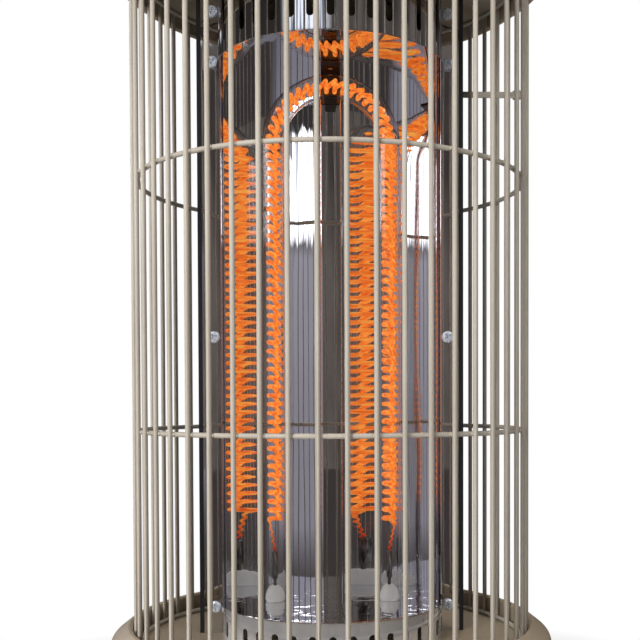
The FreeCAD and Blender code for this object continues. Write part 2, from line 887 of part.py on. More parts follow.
def rear_cover():
    """Half a cylinder behind the reflector, with a lip behind each flange, vent slots and fixing tabs."""
    outer = rear_radius
    inner = outer - drum_gauge
    lip_end = half_opening + drum_gauge + clearance
    body = new_body("rear_cover")
    wall = sketch_on(body, "wall_outline", "XY_Plane", tray_level)
    outline(wall, [
        (-outer, 0, 0, outer),
        (-lip_end, 0),
        (-lip_end, drum_gauge),
        (-across(inner, drum_gauge), drum_gauge),
        (across(inner, drum_gauge), drum_gauge, 0, inner),
        (lip_end, drum_gauge),
        (lip_end, 0),
        (outer, 0),
    ])
    pad(body, "wall", wall, cap_level - tray_level)
    half = size("tab_width") / 2
    for name, level in (("lower_tabs", tray_level), ("upper_tabs", cap_level - drum_gauge)):
        tabs = sketch_on(body, name + "_outlines", "XY_Plane", level)
        for angle in TAB_ANGLES:
            near, far = inner, outer + size("tab_reach")
            outline(tabs, [
                tab_corner(angle, near, -half),
                tab_corner(angle, far, -half),
                tab_corner(angle, far, half),
                tab_corner(angle, near, half),
            ])
            x, y = polar(tab_screw_circle, angle)
            circle(tabs, x, y, size("flange_screw_radius") + running_fit)
        pad(body, name, tabs, drum_gauge)
    holes = sketch_on(body, "screw_hole_outlines", "XZ_Plane", overrun)
    for side in (-1, 1):
        for level in flange_screw_levels:
            circle(holes, side * flange_screw_at, level, size("flange_screw_radius") + running_fit)
    pocket(body, "screw_holes", holes, overrun + overrun)
    half_span = size("rear_slot_pitch_angle") * (size("rear_slot_count") - 1) / 2
    margin, length = size("rear_slot_margin"), size("rear_slot_length")
    for name, low in (("low_vents", tray_level + margin), ("high_vents", cap_level - margin - length)):
        first = sketch_on(body, name + "_outline", "XZ_Plane", swing=half_span)
        slot(first, 0, low, low + length, size("rear_slot_width"))
        first_cut = pocket(body, name + "_first", first)
        repeat_round(body, name, first_cut, size("rear_slot_count"), -half_span * 2)
    keep(body, "rear_cover")


def pan_head_screw(name):
    """A screw along its own axis, with its head's seat at zero and its head above."""
    head, height = size("flange_screw_head_radius"), size("flange_screw_head")
    shank, length = size("flange_screw_radius"), size("flange_screw_length")
    return turned(name, [
        (0, -length),
        (shank, -length),
        (shank, 0),
        (head, 0),
        (0, height) + dome(head, height),
    ])


def flange_screws():
    screws = []
    for side in (-1, 1):
        for number, level in enumerate(flange_screw_levels):
            on_ear = number in (0, len(flange_screw_levels) - 1)
            seat = -drum_gauge * (2 if on_ear else 1)
            screw = pan_head_screw("flange_screw_%d_%d" % (side + 1, number))
            screws.append(place(screw, side * flange_screw_at, seat, level, FRONTWARD))
    group("flange_screws", screws)


def drum_screws():
    """Screws that hold the rear cover's tabs to the tray below and to the cap above."""
    screws = []
    for angle in TAB_ANGLES:
        x, y = polar(tab_screw_circle, angle)
        low = pan_head_screw("tray_screw_%d" % angle)
        screws.append(place(low, x, y, tray_level + drum_gauge))
        high = pan_head_screw("cap_pan_screw_%d" % angle)
        screws.append(place(high, x, y, cap_level - drum_gauge, UPSIDE_DOWN))
    group("drum_screws", screws)


def quartz_tube():
    """Two upright legs and the half-round arch that joins them, all of one bore."""
    body = new_body("quartz_tube")
    foot = floor_level + clearance
    inner = tube_radius - size("tube_wall")

    def ring(name, level, side):
        section = sketch_on(body, name, "XY_Plane", level)
        circle(section, side * tube_spread, tube_y, tube_radius)
        circle(section, side * tube_spread, tube_y, inner)
        return section

    pad(body, "left_leg", ring("left_foot", foot, -1), arch_level - foot)
    revolve(body, "arch", ring("arch_foot", arch_level, -1), 180)
    pad(body, "right_leg", ring("right_foot", foot, 1), arch_level - foot)
    keep(body, "quartz_tube")


def arc_middle(start, way, end):
    """The middle of the arc that leaves start in a given direction and ends at end."""
    chord = end - start
    along = Vector(chord).normalize()
    half_turn = math.acos(max(-1, min(1, way.dot(along))))
    aside = (way - along * way.dot(along)).normalize()
    return (start + end) / 2 + aside * (chord.Length / 2 * math.tan(half_turn / 2))


def two_arcs(start, start_way, end, end_way):
    """Two arcs, smooth where they meet, that leave and arrive in given directions."""
    span = end - start
    square = 2 * (start_way.dot(end_way) - 1)
    linear = -2 * span.dot(start_way + end_way)
    reach = (-linear - math.sqrt(linear * linear - 4 * square * span.dot(span))) / (2 * square)
    middle = (start + start_way * reach + end - end_way * reach) / 2
    return [
        Part.Arc(start, arc_middle(start, start_way, middle), middle),
        Part.Arc(middle, arc_middle(end, -end_way, middle), end),
    ]


def direction(curve, share):
    """The direction of a curve, given as a function of the share of it that is passed."""
    ahead, behind = curve(share + SMALL_STEP_SHARE), curve(share - SMALL_STEP_SHARE)
    return (ahead - behind).normalize()


def least_gap(points, skip, wire):
    """The least free distance of a wire to itself, between points more than skip apart in its row."""
    nearest = min(
        first.distanceToPoint(second)
        for place_in_row, first in enumerate(points)
        for second in points[place_in_row + skip:place_in_row + NEIGHBOUR_TURNS * skip]
    )
    return nearest - wire


def wound_wire(label, curve, turns, wire, first, last):
    """One unbroken tube wound along a curve; first and last are its straight ends, point and direction."""
    steps = 2 * turns
    stops = [(curve(step / steps), direction(curve, step / steps)) for step in range(steps + 1)]
    (first_point, first_way), (last_point, last_way) = first, last
    entry = first_point + first_way * wire
    exit_point = last_point - last_way * wire
    stops = [(entry, first_way)] + stops + [(exit_point, last_way)]
    edges = [Part.LineSegment(first_point, entry)]
    for (start, start_way), (end, end_way) in zip(stops, stops[1:]):
        edges += two_arcs(start, start_way, end, end_way)
    edges.append(Part.LineSegment(exit_point, last_point))
    path = Part.Wire([edge.toShape() for edge in edges])
    section = Part.Wire([Part.Circle(first_point, first_way, wire / 2).toShape()])
    tube = path.makePipeShell([section], True, False)
    count = steps * POINTS_PER_HALF_TURN
    points = [curve(step / count) for step in range(count + 1)]
    print("%s: least gap to itself %.2f mm" % (label, least_gap(points, POINTS_PER_HALF_TURN, wire)))
    thing = doc.addObject("Part::Feature", label)
    thing.Shape = tube
    thing.Placement = FreeCAD.Placement()
    return keep(thing, label)


def heating_coil():
    """Resistance wire wound along the tube's centre line, with a straight tail down to each crimp."""
    spread, level = tube_spread.value, arch_level.value
    foot = (floor_level + size("coil_foot_rise")).value
    wire = size("coil_wire").value
    radius = (size("coil_diameter").value - wire) / 2
    turns = int(size("coil_turn_count").value)
    leg = level - foot
    length = 2 * leg + math.pi * spread
    middle_y = tube_y.value

    def centre(share):
        """A point of the tube's centre line, and the direction away from the arch's middle."""
        passed = share * length
        if passed < leg:
            return Vector(-spread, middle_y, foot + passed), Vector(-1, 0, 0)
        if passed > length - leg:
            return Vector(spread, middle_y, foot + length - passed), Vector(1, 0, 0)
        angle = math.pi - (passed - leg) / spread
        outward = Vector(math.cos(angle), 0, math.sin(angle))
        return Vector(0, middle_y, level) + outward * spread, outward

    def curve(share):
        point, outward = centre(share)
        angle = 2 * math.pi * turns * share
        return point + outward * (radius * math.cos(angle)) + Vector(0, radius * math.sin(angle), 0)

    crimp_top = (floor_level + size("crimp_top_rise")).value
    first = Vector(-spread, middle_y, crimp_top), Vector(0, 0, 1)
    last = Vector(spread, middle_y, crimp_top), Vector(0, 0, -1)
    wound_wire("heating_coil", curve, turns, wire, first, last)


def tube_ends():
    """Ceramic beads that locate the tube's legs, and the crimped leads that pass through them."""
    bore = size("lead_radius") + clearance
    collar = tube_radius - size("tube_wall") - clearance
    bead, height = size("bead_radius"), size("bead_height")
    beads, terminals = [], []
    crimp_top = size("crimp_top_rise")
    for side in (-1, 1):
        profile = [
            (bore, 0),
            (collar, 0),
            (collar, size("bead_collar")),
            (bead, size("bead_collar")),
            (bead, height),
            (bore, height),
        ]
        bush = turned("bead_%d" % (side + 1), profile)
        beads.append(place(bush, side * tube_spread, tube_y, floor_level))
        profile = [
            (0, -size("lead_drop")),
            (size("lead_radius"), -size("lead_drop")),
            (size("lead_radius"), crimp_top - size("crimp_length")),
            (size("crimp_radius"), crimp_top - size("crimp_length")),
            (size("crimp_radius"), crimp_top),
            (0, crimp_top),
        ]
        crimp = turned("terminal_%d" % (side + 1), profile)
        terminals.append(place(crimp, side * tube_spread, tube_y, floor_level))
    group("ceramic_beads", beads)
    group("element_terminals", terminals)


def crown_bracket():
    """A strap that hangs from the ceiling behind the tube's crown and hooks under it."""
    strap = size("strap_gauge")
    near = tube_y - size("strap_lap")
    web = web_front
    crown_inside = tube_spread - tube_radius
    hook_top = arch_level + across(crown_inside, size("hook_width") / 2) - clearance
    hook_low = hook_top - strap
    body = new_body("crown_bracket")
    angle = sketch_on(body, "strap_outline", "YZ_Plane", -size("strap_width") / 2)
    outline(angle, [
        (near, ceiling_level),
        (near, ceiling_level - strap),
        (web, ceiling_level - strap),
        (web, hook_low),
        (web + strap, hook_low),
        (web + strap, ceiling_level),
    ])
    pad(body, "strap", angle, size("strap_width"))
    hook = sketch_on(body, "hook_outline", "YZ_Plane", -size("hook_width") / 2)
    rectangle(hook, near, hook_low, web + strap / 2, hook_top)
    pad(body, "hook", hook, size("hook_width"))
    hole = sketch_on(body, "screw_hole_outline", "XY_Plane", ceiling_level)
    circle(hole, 0, tube_y, size("flange_screw_radius") + running_fit)
    pocket(body, "screw_hole", hole, strap)
    keep(body, "crown_bracket")
    screw = turned("bracket_screw", [
        (0, -strap - drum_gauge),
        (size("flange_screw_radius"), -strap - drum_gauge),
        (size("flange_screw_radius"), 0),
        (size("flange_screw_head_radius"), 0),
        (0, size("flange_screw_head")) + dome(size("flange_screw_head_radius"), size("flange_screw_head")),
    ])
    keep(place(screw, 0, tube_y, ceiling_level + drum_gauge), "bracket_screw")


def control_dish():
    """A moulded dish set in the skirt, with a rim that follows the skirt's curve."""
    proud = size("base_radius") + size("dish_wall")
    deep = size("dish_depth") + size("dish_wall") + overrun
    level, height = size("dish_height"), size("base_height")
    plug = rod("dish_plug", size("dish_radius"), deep, 0, -dish_floor + size("dish_wall"), level, FRONTWARD)
    limit = rod("dish_limit", proud, height)
    cup = common("dish_cup", plug, limit)
    rim_disc = rod("dish_rim_disc", size("dish_radius") + size("dish_flange"), deep,
                   0, -dish_floor, level, FRONTWARD)
    skirt = cut("dish_skirt", rod("dish_skirt_outside", proud, height),
                rod("dish_skirt_inside", size("base_radius") + running_fit, height))
    rim = common("dish_rim", rim_disc, skirt)
    blank = fuse("dish_blank", cup, rim)
    inside = size("dish_radius") - size("dish_wall")
    hollow = rod("dish_hollow", inside, deep, 0, -dish_floor, level, FRONTWARD)
    hole = rod("dish_neck_hole", size("switch_neck_radius") + running_fit, deep,
               0, -dish_floor + size("dish_wall") + overrun, level, FRONTWARD)
    keep(cut("control_dish", cut("dish_open", blank, hollow), hole), "control_dish")


def control_knob():
    """A fluted knob with a pointer groove, hollow underneath to clear the nut."""
    gap, depth = size("knob_gap"), size("knob_depth")
    top, edge = size("knob_top_radius"), size("knob_edge")
    recess = size("nut_flats") * NUT_CLEAR_SHARE
    recess_top = size("nut_height") + size("switch_neck_stub") + gap
    bore = size("shaft_radius") + running_fit
    diagonal = cosine(45)
    face = gap + depth
    knob = turned("control_knob", [
        (recess, gap),
        (size("knob_radius"), gap),
        (top, face - edge),
        (top - edge, face, top - edge + edge * diagonal, face - edge + edge * diagonal),
        (0, face),
        (0, size("shaft_reach") + clearance),
        (bore, size("shaft_reach") + clearance),
        (bore, recess_top),
        (recess, recess_top),
    ])
    flute = sketch_on(knob, "flute_outline", "XY_Plane", gap)
    circle(flute, size("knob_radius") + size("flute_radius") * FLUTE_OFFSET_SHARE, 0, size("flute_radius"))
    first = pocket(knob, "first_flute", flute, reverse=True)
    repeat_round(knob, "flutes", first, size("flute_count"), as_size(360))
    pointer = sketch_on(knob, "pointer_outline", "XY_Plane", face)
    half = size("pointer_width") / 2
    rectangle(pointer, -half, top * POINTER_START_SHARE, half, top - edge)
    pocket(knob, "pointer", pointer, size("pointer_depth"))
    keep(place(knob, 0, -dish_floor, size("dish_height"), FRONTWARD), "control_knob")


def heat_switch():
    """The rotary switch behind the dish, its nut in front, and the shaft that the knob turns."""
    wall, depth = size("dish_wall"), size("switch_depth")
    neck_top = size("nut_height") + size("switch_neck_stub")
    half = size("switch_width") / 2
    shaft_foot = -wall - depth / 2
    body = new_body("rotary_switch")
    case = sketch_on(body, "case_outline", "XY_Plane", -wall)
    rectangle(case, -half, -half, half, half)
    pad(body, "case", case, depth, reverse=True)
    neck = sketch_on(body, "neck_outline", "XY_Plane", -wall)
    circle(neck, 0, 0, size("switch_neck_radius"))
    pad(body, "neck", neck, wall + neck_top)
    bore = sketch_on(body, "bore_outline", "XY_Plane", neck_top)
    circle(bore, 0, 0, size("shaft_radius") + running_fit)
    pocket(body, "bore", bore, neck_top - shaft_foot + clearance)
    tags = sketch_on(body, "tag_outlines", "XY_Plane", -wall - depth)
    for step in (-1, 0, 1):
        left = step * half * TAG_SPREAD_SHARE - size("tag_width") / 2
        rectangle(tags, left, -size("tag_gauge") / 2, left + size("tag_width"), size("tag_gauge") / 2)
    pad(body, "tags", tags, size("tag_length"), reverse=True)
    keep(place(body, 0, -dish_floor, size("dish_height"), FRONTWARD), "rotary_switch")

    nut = new_body("switch_nut")
    hexagon = sketch_on(nut, "hexagon", "XY_Plane")
    corner = size("nut_flats") / (2 * cosine(30))
    outline(hexagon, [polar(corner, 60 * number) for number in range(6)])
    circle(hexagon, 0, 0, size("switch_neck_radius") + running_fit)
    pad(nut, "nut", hexagon, size("nut_height"))
    keep(place(nut, 0, -dish_floor, size("dish_height"), FRONTWARD), "switch_nut")

    shaft = turned("switch_shaft", [
        (0, shaft_foot),
        (size("shaft_radius"), shaft_foot),
        (size("shaft_radius"), size("shaft_reach")),
        (0, size("shaft_reach")),
    ])
    keep(place(shaft, 0, -dish_floor, size("dish_height"), FRONTWARD), "switch_shaft")


def tip_switch():
    """A switch that opens when the heater is lifted or falls: a sprung plunger stands on the floor."""
    half_width, half_depth = size("tip_width") / 2, size("tip_depth") / 2
    at = size("tip_offset")
    bore_top = size("tip_height") - size("tip_wall")
    body = new_body("tip_switch_body")
    case = sketch_on(body, "case_outline", "XY_Plane", plate_top)
    rectangle(case, at - half_width, -half_depth, at + half_width, half_depth)
    pad(body, "case", case, size("tip_height"))
    bore = sketch_on(body, "bore_outline", "XY_Plane", plate_top)
    circle(bore, at, 0, size("tip_bore_radius"))
    pocket(body, "bore", bore, bore_top, reverse=True)
    guide = sketch_on(body, "guide_outline", "XY_Plane", plate_top)
    circle(guide, at, 0, size("plunger_radius") + running_fit)
    pocket(body, "guide", guide, reverse=True)
    keep(body, "tip_switch_body")

    collar_low = plate_top + size("tip_travel") + clearance
    collar_top = collar_low + size("plunger_collar")
    stem = size("plunger_radius")
    ground = size("plunger_ground_gap")
    top = plate_top + size("tip_height") + size("plunger_stub")
    plunger = turned("tip_plunger", [
        (0, ground),
        (size("plunger_foot_radius") * DOME_SHARE, ground),
        (size("plunger_foot_radius"), ground + size("plunger_foot") / 2),
        (size("plunger_foot_radius"), ground + size("plunger_foot")),
        (stem, ground + size("plunger_foot")),
        (stem, collar_low),
        (size("plunger_collar_radius"), collar_low),
        (size("plunger_collar_radius"), collar_top),
        (stem, collar_top),
        (stem, top),
        (0, top),
    ])
    keep(place(plunger, at, 0, 0), "tip_plunger")

    wire = size("spring_wire").value
    radius = (size("tip_bore_radius") - clearance).value - wire / 2
    low, high = collar_top.value, (plate_top + bore_top).value
    turns = int(size("spring_turn_count").value)
    lead = (high - low) * SPRING_LEAD_SHARE
    axis = Vector(at.value, 0, low + lead)
    rise = high - low - 2 * lead

    def curve(share):
        angle = 2 * math.pi * turns * share
        return axis + Vector(radius * math.cos(angle), radius * math.sin(angle), rise * share)

    def end(level, share):
        point = curve(share)
        return Vector(point.x, point.y, level), Vector(0, 0, 1)

    first = end(low, -SPRING_END_SHARE / turns)
    last = end(high, 1 + SPRING_END_SHARE / turns)
    wound_wire("tip_spring", curve, turns, wire, first, last)


def terminal_block():
    length, depth, height = size("block_length"), size("block_depth"), size("block_height")
    left = -size("block_offset") - length / 2
    body = new_body("terminal_block")
    case = sketch_on(body, "case_outline", "XY_Plane", plate_top)
    rectangle(case, left, -depth / 2, left + length, depth / 2)
    pad(body, "case", case, height)
    ways = sketch_on(body, "way_outlines", "XZ_Plane", -depth / 2 - overrun)
    count = int(size("block_way_count").value)
    for number in range(count):
        circle(ways, left + length * (number + 0.5) / count, plate_top + height / 2, size("block_way_radius"))
    pocket(body, "ways", ways, reverse=True)
    keep(body, "terminal_block")


def thermal_cutout():
    """A disc thermostat held against the floor plate's underside."""
    height = size("cutout_height")
    rim = size("cutout_radius") + size("cutout_rim")
    disc = turned("thermal_cutout", [
        (0, -height),
        (size("cutout_radius"), -height),
        (size("cutout_radius"), -size("cutout_rim")),
        (rim, -size("cutout_rim")),
        (rim, 0),
        (0, 0),
    ])
    keep(place(disc, 0, -size("cutout_offset"), floor_level - drum_gauge), "thermal_cutout")


def inlet_grommet():
    """The bush in the rear of the skirt that a mains lead would pass through."""
    bore, neck = size("grommet_bore"), size("grommet_radius")
    flange = neck + size("grommet_flange")
    inside = -gauge - clearance - running_fit
    bush = turned("inlet_grommet", [
        (bore, inside - size("grommet_lip")),
        (flange, inside - size("grommet_lip")),
        (flange, inside),
        (neck, inside),
        (neck, running_fit),
        (flange, running_fit),
        (flange, size("grommet_lip")),
        (bore, size("grommet_lip")),
    ])
    keep(place(bush, 0, size("base_radius"), size("grommet_height"), REARWARD), "inlet_grommet")


def write_parts():
    doc.recompute()
    failed = [thing.Name for thing in doc.Objects if {"Invalid", "Error"} & set(thing.State)]
    if failed:
        raise RuntimeError("failed objects: %s" % failed)
    for thing in nodes:
        if thing.Shape.isNull() or not thing.Shape.isValid():
            raise RuntimeError("%s has no valid shape" % thing.Label)
    os.makedirs("parts", exist_ok=True)
    for thing in nodes:
        thing.Shape.exportStep("parts/%s.step" % thing.Label)
    print("%d sub-parts written" % len(nodes))


lead_holes = [(side * tube_spread, tube_y, size("lead_hole_radius")) for side in (-1, 1)]
bracket_hole = [(as_size(0), tube_y, size("flange_screw_radius") + running_fit)]
lower_slot_top = floor_level - size("slot_margin")
upper_slot_low = ceiling_level + size("slot_margin")

base_shell()
bottom_plate()
feet_and_posts()
guard()
guard_stay()
cap()
drum_plate("floor_plate", floor_level - drum_gauge, lead_holes)
drum_plate("ceiling_plate", ceiling_level, bracket_hole)
vent_band("lower_vent_band", tray_level, floor_level - drum_gauge,
          lower_slot_top - size("lower_slot_length"), lower_slot_top, flange_screw_levels[0])
vent_band("upper_vent_band", ceiling_level + drum_gauge, cap_level,
          upper_slot_low, upper_slot_low + size("upper_slot_length"), flange_screw_levels[-1])
reflector()
rear_cover()
flange_screws()
drum_screws()
quartz_tube()
heating_coil()
tube_ends()
crown_bracket()
control_dish()
control_knob()
heat_switch()
tip_switch()
terminal_block()
thermal_cutout()
inlet_grommet()
write_parts()
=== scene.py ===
import math

import bpy
from mathutils import Matrix, Vector


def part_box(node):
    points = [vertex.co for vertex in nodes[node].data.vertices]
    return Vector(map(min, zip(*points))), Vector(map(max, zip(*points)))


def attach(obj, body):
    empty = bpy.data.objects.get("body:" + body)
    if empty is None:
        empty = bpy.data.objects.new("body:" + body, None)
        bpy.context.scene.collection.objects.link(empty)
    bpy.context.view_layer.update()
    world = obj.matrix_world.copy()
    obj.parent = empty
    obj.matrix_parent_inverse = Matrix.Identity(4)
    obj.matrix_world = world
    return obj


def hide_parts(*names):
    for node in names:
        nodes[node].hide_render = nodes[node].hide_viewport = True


MM = 0.001

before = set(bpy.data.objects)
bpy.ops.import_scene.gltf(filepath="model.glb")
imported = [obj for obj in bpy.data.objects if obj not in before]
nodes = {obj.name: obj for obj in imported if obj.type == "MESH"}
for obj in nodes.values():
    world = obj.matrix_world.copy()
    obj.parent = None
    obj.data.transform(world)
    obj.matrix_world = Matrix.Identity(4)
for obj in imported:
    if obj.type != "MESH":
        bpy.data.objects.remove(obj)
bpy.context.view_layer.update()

# Sizes in millimetres, angles in degrees and counts that the smooth pieces share with the solids
TRAY, FLOOR, CEILING, CAP = 84.5, 111.0, 520.7, 592.0
SHEET = 0.8
HALF_OPENING, FLANGE_END = 85.0, 99.7
TROUGH_RADIUS, TROUGH_DEPTH, TROUGH_SHIFT = 58.0, 26.0, 5.0
LEG_X, LEG_Y, TUBE_RADIUS, TUBE_WALL = 44.3, -8.0, 9.0, 1.2
TUBE_FOOT, ARCH_LEVEL = 111.3, 462.3
COIL_FOOT, CRIMP_TOP = 171.0, 149.5
WIRE_RADIUS, WIRE_COUNT, RING_RADIUS = 1.75, 50, 146.4
RING_LEVELS = (83.75, 243.3, 430.5, 590.25)
FLANGE_SCREW_X, FLANGE_SCREW_LEVELS = 90.9, (105.2, 315.0, 526.5, 564.7)
TAB_SCREW_RADIUS, TAB_ANGLES = 109.2, (25, 90, 155)
DISH_LEVEL, DISH_FLOOR = 44.0, 153.0
BAND_RADIUS, SLOT_WIDTH, SLOT_COUNT, SLOT_PITCH = 86.0, 5.5, 17, 9.5
EAR_MIDDLE, EAR_LENGTH, EAR_HEIGHT = 91.4, 12.6, 16.0
LOWER_SLOT, UPPER_SLOT = (88.7, 100.7), (531.0, 576.0)
BASE_RADIUS, BASE_FOOT, BASE_GAUGE, BASE_SLOPE = 168.94, 8.0, 1.2, 38.0
SHOULDER_AT, SHOULDER_RADIUS = (159.94, 82.4257), 9.0
LIP_AT, LIP_RADIUS = (155.0, 94.2), 2.8
CHANNEL, TRAY_RADIUS = 82.0, 134.0
BASE_TOP = LIP_AT[1] + LIP_RADIUS
DISH_HOLE, BUSH_HOLE, BUSH_LEVEL, LEAD_HOLE, TAB_HOLE = 27.3, 7.08, 30.0, 4.0, 2.2
DISH_RADIUS, DISH_WALL, DISH_RIM, DISH_PROUD = 27.0, 1.6, 31.0, 170.55
DISH_BORE, DISH_STEP, DISH_DEPTH, DISH_FILLET = 4.68, 11.0, 20.0, 2.0
UNDERCUT_LOW, UNDERCUT_HIGH, SKIRT_SEAT = 5.0, 22.0, 169.04
CAP_RIM, CAP_SCREW_ANGLES = 167.08, (45, 135, 225, 315)
POINTER_SIZE, POINTER_DEPTH, POINTER_RISE = (2.2, 0.9, 8.7), 16.45, 10.5

# Sizes in millimetres of the finer forms and of cutting tools, and shares of such sizes;
# the welds' angle is in radians, and the screws' twists are in degrees
RIDGE_HALF, RIDGE_FRONT, RIDGE_CORNER = 9.0, 3.0, 2.5
BEND_ROUND, PLATE_ROUND, POINTER_ROUND, MERGE_GAP = 1.1, 0.28, 0.3, 0.01
WELD_RADIUS, WELD_SHARES, WELD_ANGLE = 1.0, (1.25, 1.0, 1.35), 0.0108
FIRST_TWIST, NEXT_TWIST = 10, 23
PAN_HEAD = {"radius": 4.7, "height": 2.6, "shank": 1.9, "length": 7.0}
RIM_HEAD = {"radius": 3.6, "height": 1.8, "shank": 1.8, "length": 7.0}
CREST_SHARE, DOME_SHARE = 0.9, 0.8
RECESS_SHARES = (1.15, 0.26, 1.1)
BEAD_OUTLINE = (
    (1.5, 0.0), (6.4, 0.0), (7.4, 1.2), (7.5, 3.0), (7.1, 5.6),
    (6.0, 8.6), (4.6, 10.8), (3.4, 12.0), (1.5, 12.0))
FRONT_CUT_AT, REAR_CUT_AT = -120.0, 190.0
SKIRT_CUT, OVERRUN, SLOT_TOOL, SLOT_HAIR = 60.0, 4.0, 20.0, 0.01

# The coil and its tails, in millimetres and counts, then where a turn lies level, in degrees,
# and the shares of a turn that step up and of the radius that make it uneven
COIL_RADIUS, COIL_WIRE, COIL_TURNS, TURN_POINTS = 4.0, 3.5, 106, 18
TAIL_TWISTS, TAIL_SWAY, TAIL_SLACK, TAIL_POINTS, TAIL_THICKNESS_SHARE = 5, 0.9, 0.25, 30, 0.42
LEVEL_SIDE, LEVEL_DRIFT = 45, 90
STEP_FROM_SHARE, STEP_SHARE = 0.35, 0.30
UNEVEN_SHARES = ((0.05, 0.173, 0.0), (0.03, 0.417, 1.3))

# The camera fitted to the photograph: pixels, millimetres and degrees
PICTURE, FOCAL_LENGTH, PRINCIPAL_POINT, SENSOR = 640, 996.041, (362.348, 422.287), 36.0
CAMERA_AT, CAMERA_TURNS = (-3.228, -777.868, 267.2), (-2.002, -1.37, 0.175)

# The studio, in metres and watts: each lamp's place, size and power, and whether mirrors and glass show it
ROOM_RADIUS, ROOM_HEIGHT, ROOM_MIDDLE, FLOOR_SIZE, GROUND_LIFT = 3.0, 5.0, 2.4, 12.0, 0.001
LAMP_AIM = (0, 0, 0.3)
LAMPS = {
    "top_lamp": ((-1.3, -1.5, 2.3), 1.0, 12, True),
    "key_lamp": ((-1.2, -2.1, 0.75), 0.9, 50, False),
    "fill_lamp": ((1.3, -1.6, 2.2), 1.0, 10, True),
    "rear_lamp": ((0.9, 2.0, 1.7), 1.0, 20, False),
}


class Flow:
    """A shader value that can be written in sums and products."""

    def __init__(self, finish, socket):
        self.finish = finish
        self.socket = socket

    def maths(self, operation, first, second):
        return self.finish.node("ShaderNodeMath", {"operation": operation}, {0: first, 1: second})

    def __add__(self, other):
        return self.maths("ADD", self, other)

    def __radd__(self, other):
        return self.maths("ADD", other, self)

    def __mul__(self, other):
        return self.maths("MULTIPLY", self, other)

    def __rmul__(self, other):
        return self.maths("MULTIPLY", other, self)


class Finish:
    """A material, or the world, built node by node."""

    def __init__(self, owner):
        owner.use_nodes = True
        self.owner = owner
        self.tree = owner.node_tree
        self.tree.nodes.clear()

    def node(self, kind, settings=None, sockets=None, output=0):
        made = self.tree.nodes.new(kind)
        for name, value in (settings or {}).items():
            if name == "stops":
                self.set_stops(made.color_ramp, value)
            else:
                setattr(made, name, value)
        for name, value in (sockets or {}).items():
            if isinstance(value, Flow):
                self.tree.links.new(value.socket, made.inputs[name])
            else:
                made.inputs[name].default_value = value
        return Flow(self, made.outputs[output])

    def set_stops(self, ramp, stops):
        while len(ramp.elements) < len(stops):
            ramp.elements.new(0.5)
        for element, (place, colour) in zip(ramp.elements, stops):
            element.position = place
            element.color = tuple(colour) + (1.0,)

    def object_place(self):
        return self.node("ShaderNodeTexCoord", output=3)

    def along(self, axis):
        """One of the object coordinates, by its letter."""
        return self.node("ShaderNodeSeparateXYZ", sockets={0: self.object_place()}, output=axis)

    def reach(self):
        """How far a place is from the object's origin."""
        return self.node("ShaderNodeVectorMath", {"operation": "LENGTH"}, {0: self.object_place()}, output=1)

    def stretched(self, scale):
        """Object coordinates, scaled apart along each axis."""
        return self.node("ShaderNodeMapping", sockets={"Vector": self.object_place(), "Scale": scale})

    def noise(self, scale, detail=3.0, vector=None):
        sockets = {"Vector": vector or self.object_place(), "Scale": scale, "Detail": detail}
        return self.node("ShaderNodeTexNoise", sockets=sockets)

    def ramp(self, value, stops):
        return self.node("ShaderNodeValToRGB", {"stops": stops}, {0: value})

    def spread(self, value, low, high, to_low, to_high):
        sockets = {0: value, 1: low, 2: high, 3: to_low, 4: to_high}
        return self.node("ShaderNodeMapRange", {"clamp": True}, sockets)

    def mix(self, share, first, second):
        """Two colours mixed by a share."""
        return self.node("ShaderNodeMix", {"data_type": "RGBA"}, {0: share, 6: first, 7: second}, output=2)

    def bump(self, height, strength, distance):
        sockets = {"Height": height, "Strength": strength, "Distance": distance}
        return self.node("ShaderNodeBump", sockets=sockets)

    def surface(self, **sockets):
        """The principled shader, with sockets named in words joined by underscores."""
        named = {name.replace("_", " "): value for name, value in sockets.items()}
        return self.node("ShaderNodeBsdfPrincipled", sockets=named)

    def end(self, shader):
        surround = isinstance(self.owner, bpy.types.World)
        last = self.tree.nodes.new("ShaderNodeOutputWorld" if surround else "ShaderNodeOutputMaterial")
        self.tree.links.new(shader.socket, last.inputs["Surface"])
        return self.owner


def colour(red, green, blue):
    return (red, green, blue, 1.0)


def enamel(name, pale, deep, roughness):
    """Stoved enamel with a fine orange-peel skin and slight changes of shade."""
    finish = Finish(bpy.data.materials.new(name))
    drift = finish.noise(14.0, 4.0)
    speck = finish.noise(2600.0, 2.0)
    shade = finish.ramp(drift * 0.75 + speck * 0.25, [(0.36, deep), (0.62, pale)])
    peel = finish.noise(1500.0, 2.0)
    skin = finish.bump(peel, 0.10, 0.0002)
    gloss = finish.spread(speck, 0.3, 0.7, roughness - 0.05, roughness + 0.06)
    return finish.end(finish.surface(Base_Color=shade, Roughness=gloss, Normal=skin))


def polished(name, waviness, dents=0.0, haze=0.0):
    """Bright-rolled sheet: a mirror with upright waves and rolling lines, and dents, or haze on its front."""
    finish = Finish(bpy.data.materials.new(name))
    wave = finish.noise(9.0, 2.0, finish.stretched((3.2, 3.2, 0.35)))
    ripple = finish.noise(60.0, 2.0, finish.stretched((2.0, 2.0, 0.10)))
    dent = finish.noise(75.0, 2.0)
    skin = finish.bump(wave + ripple * 0.03 + dent * dents, waviness, 0.0016)
    smear = finish.noise(40.0, 4.0, finish.stretched((1.0, 1.0, 0.3)))
    gloss = finish.spread(smear, 0.45, 0.75, 0.012, 0.05)
    tint = finish.ramp(smear, [(0.3, (0.86, 0.86, 0.88)), (0.7, (0.78, 0.78, 0.81))])
    clear = finish.spread(finish.along("Y"), -0.040, -0.004, 1.0 - haze, 1.0)
    return finish.end(finish.surface(Base_Color=tint, Metallic=clear, Roughness=gloss, Normal=skin))


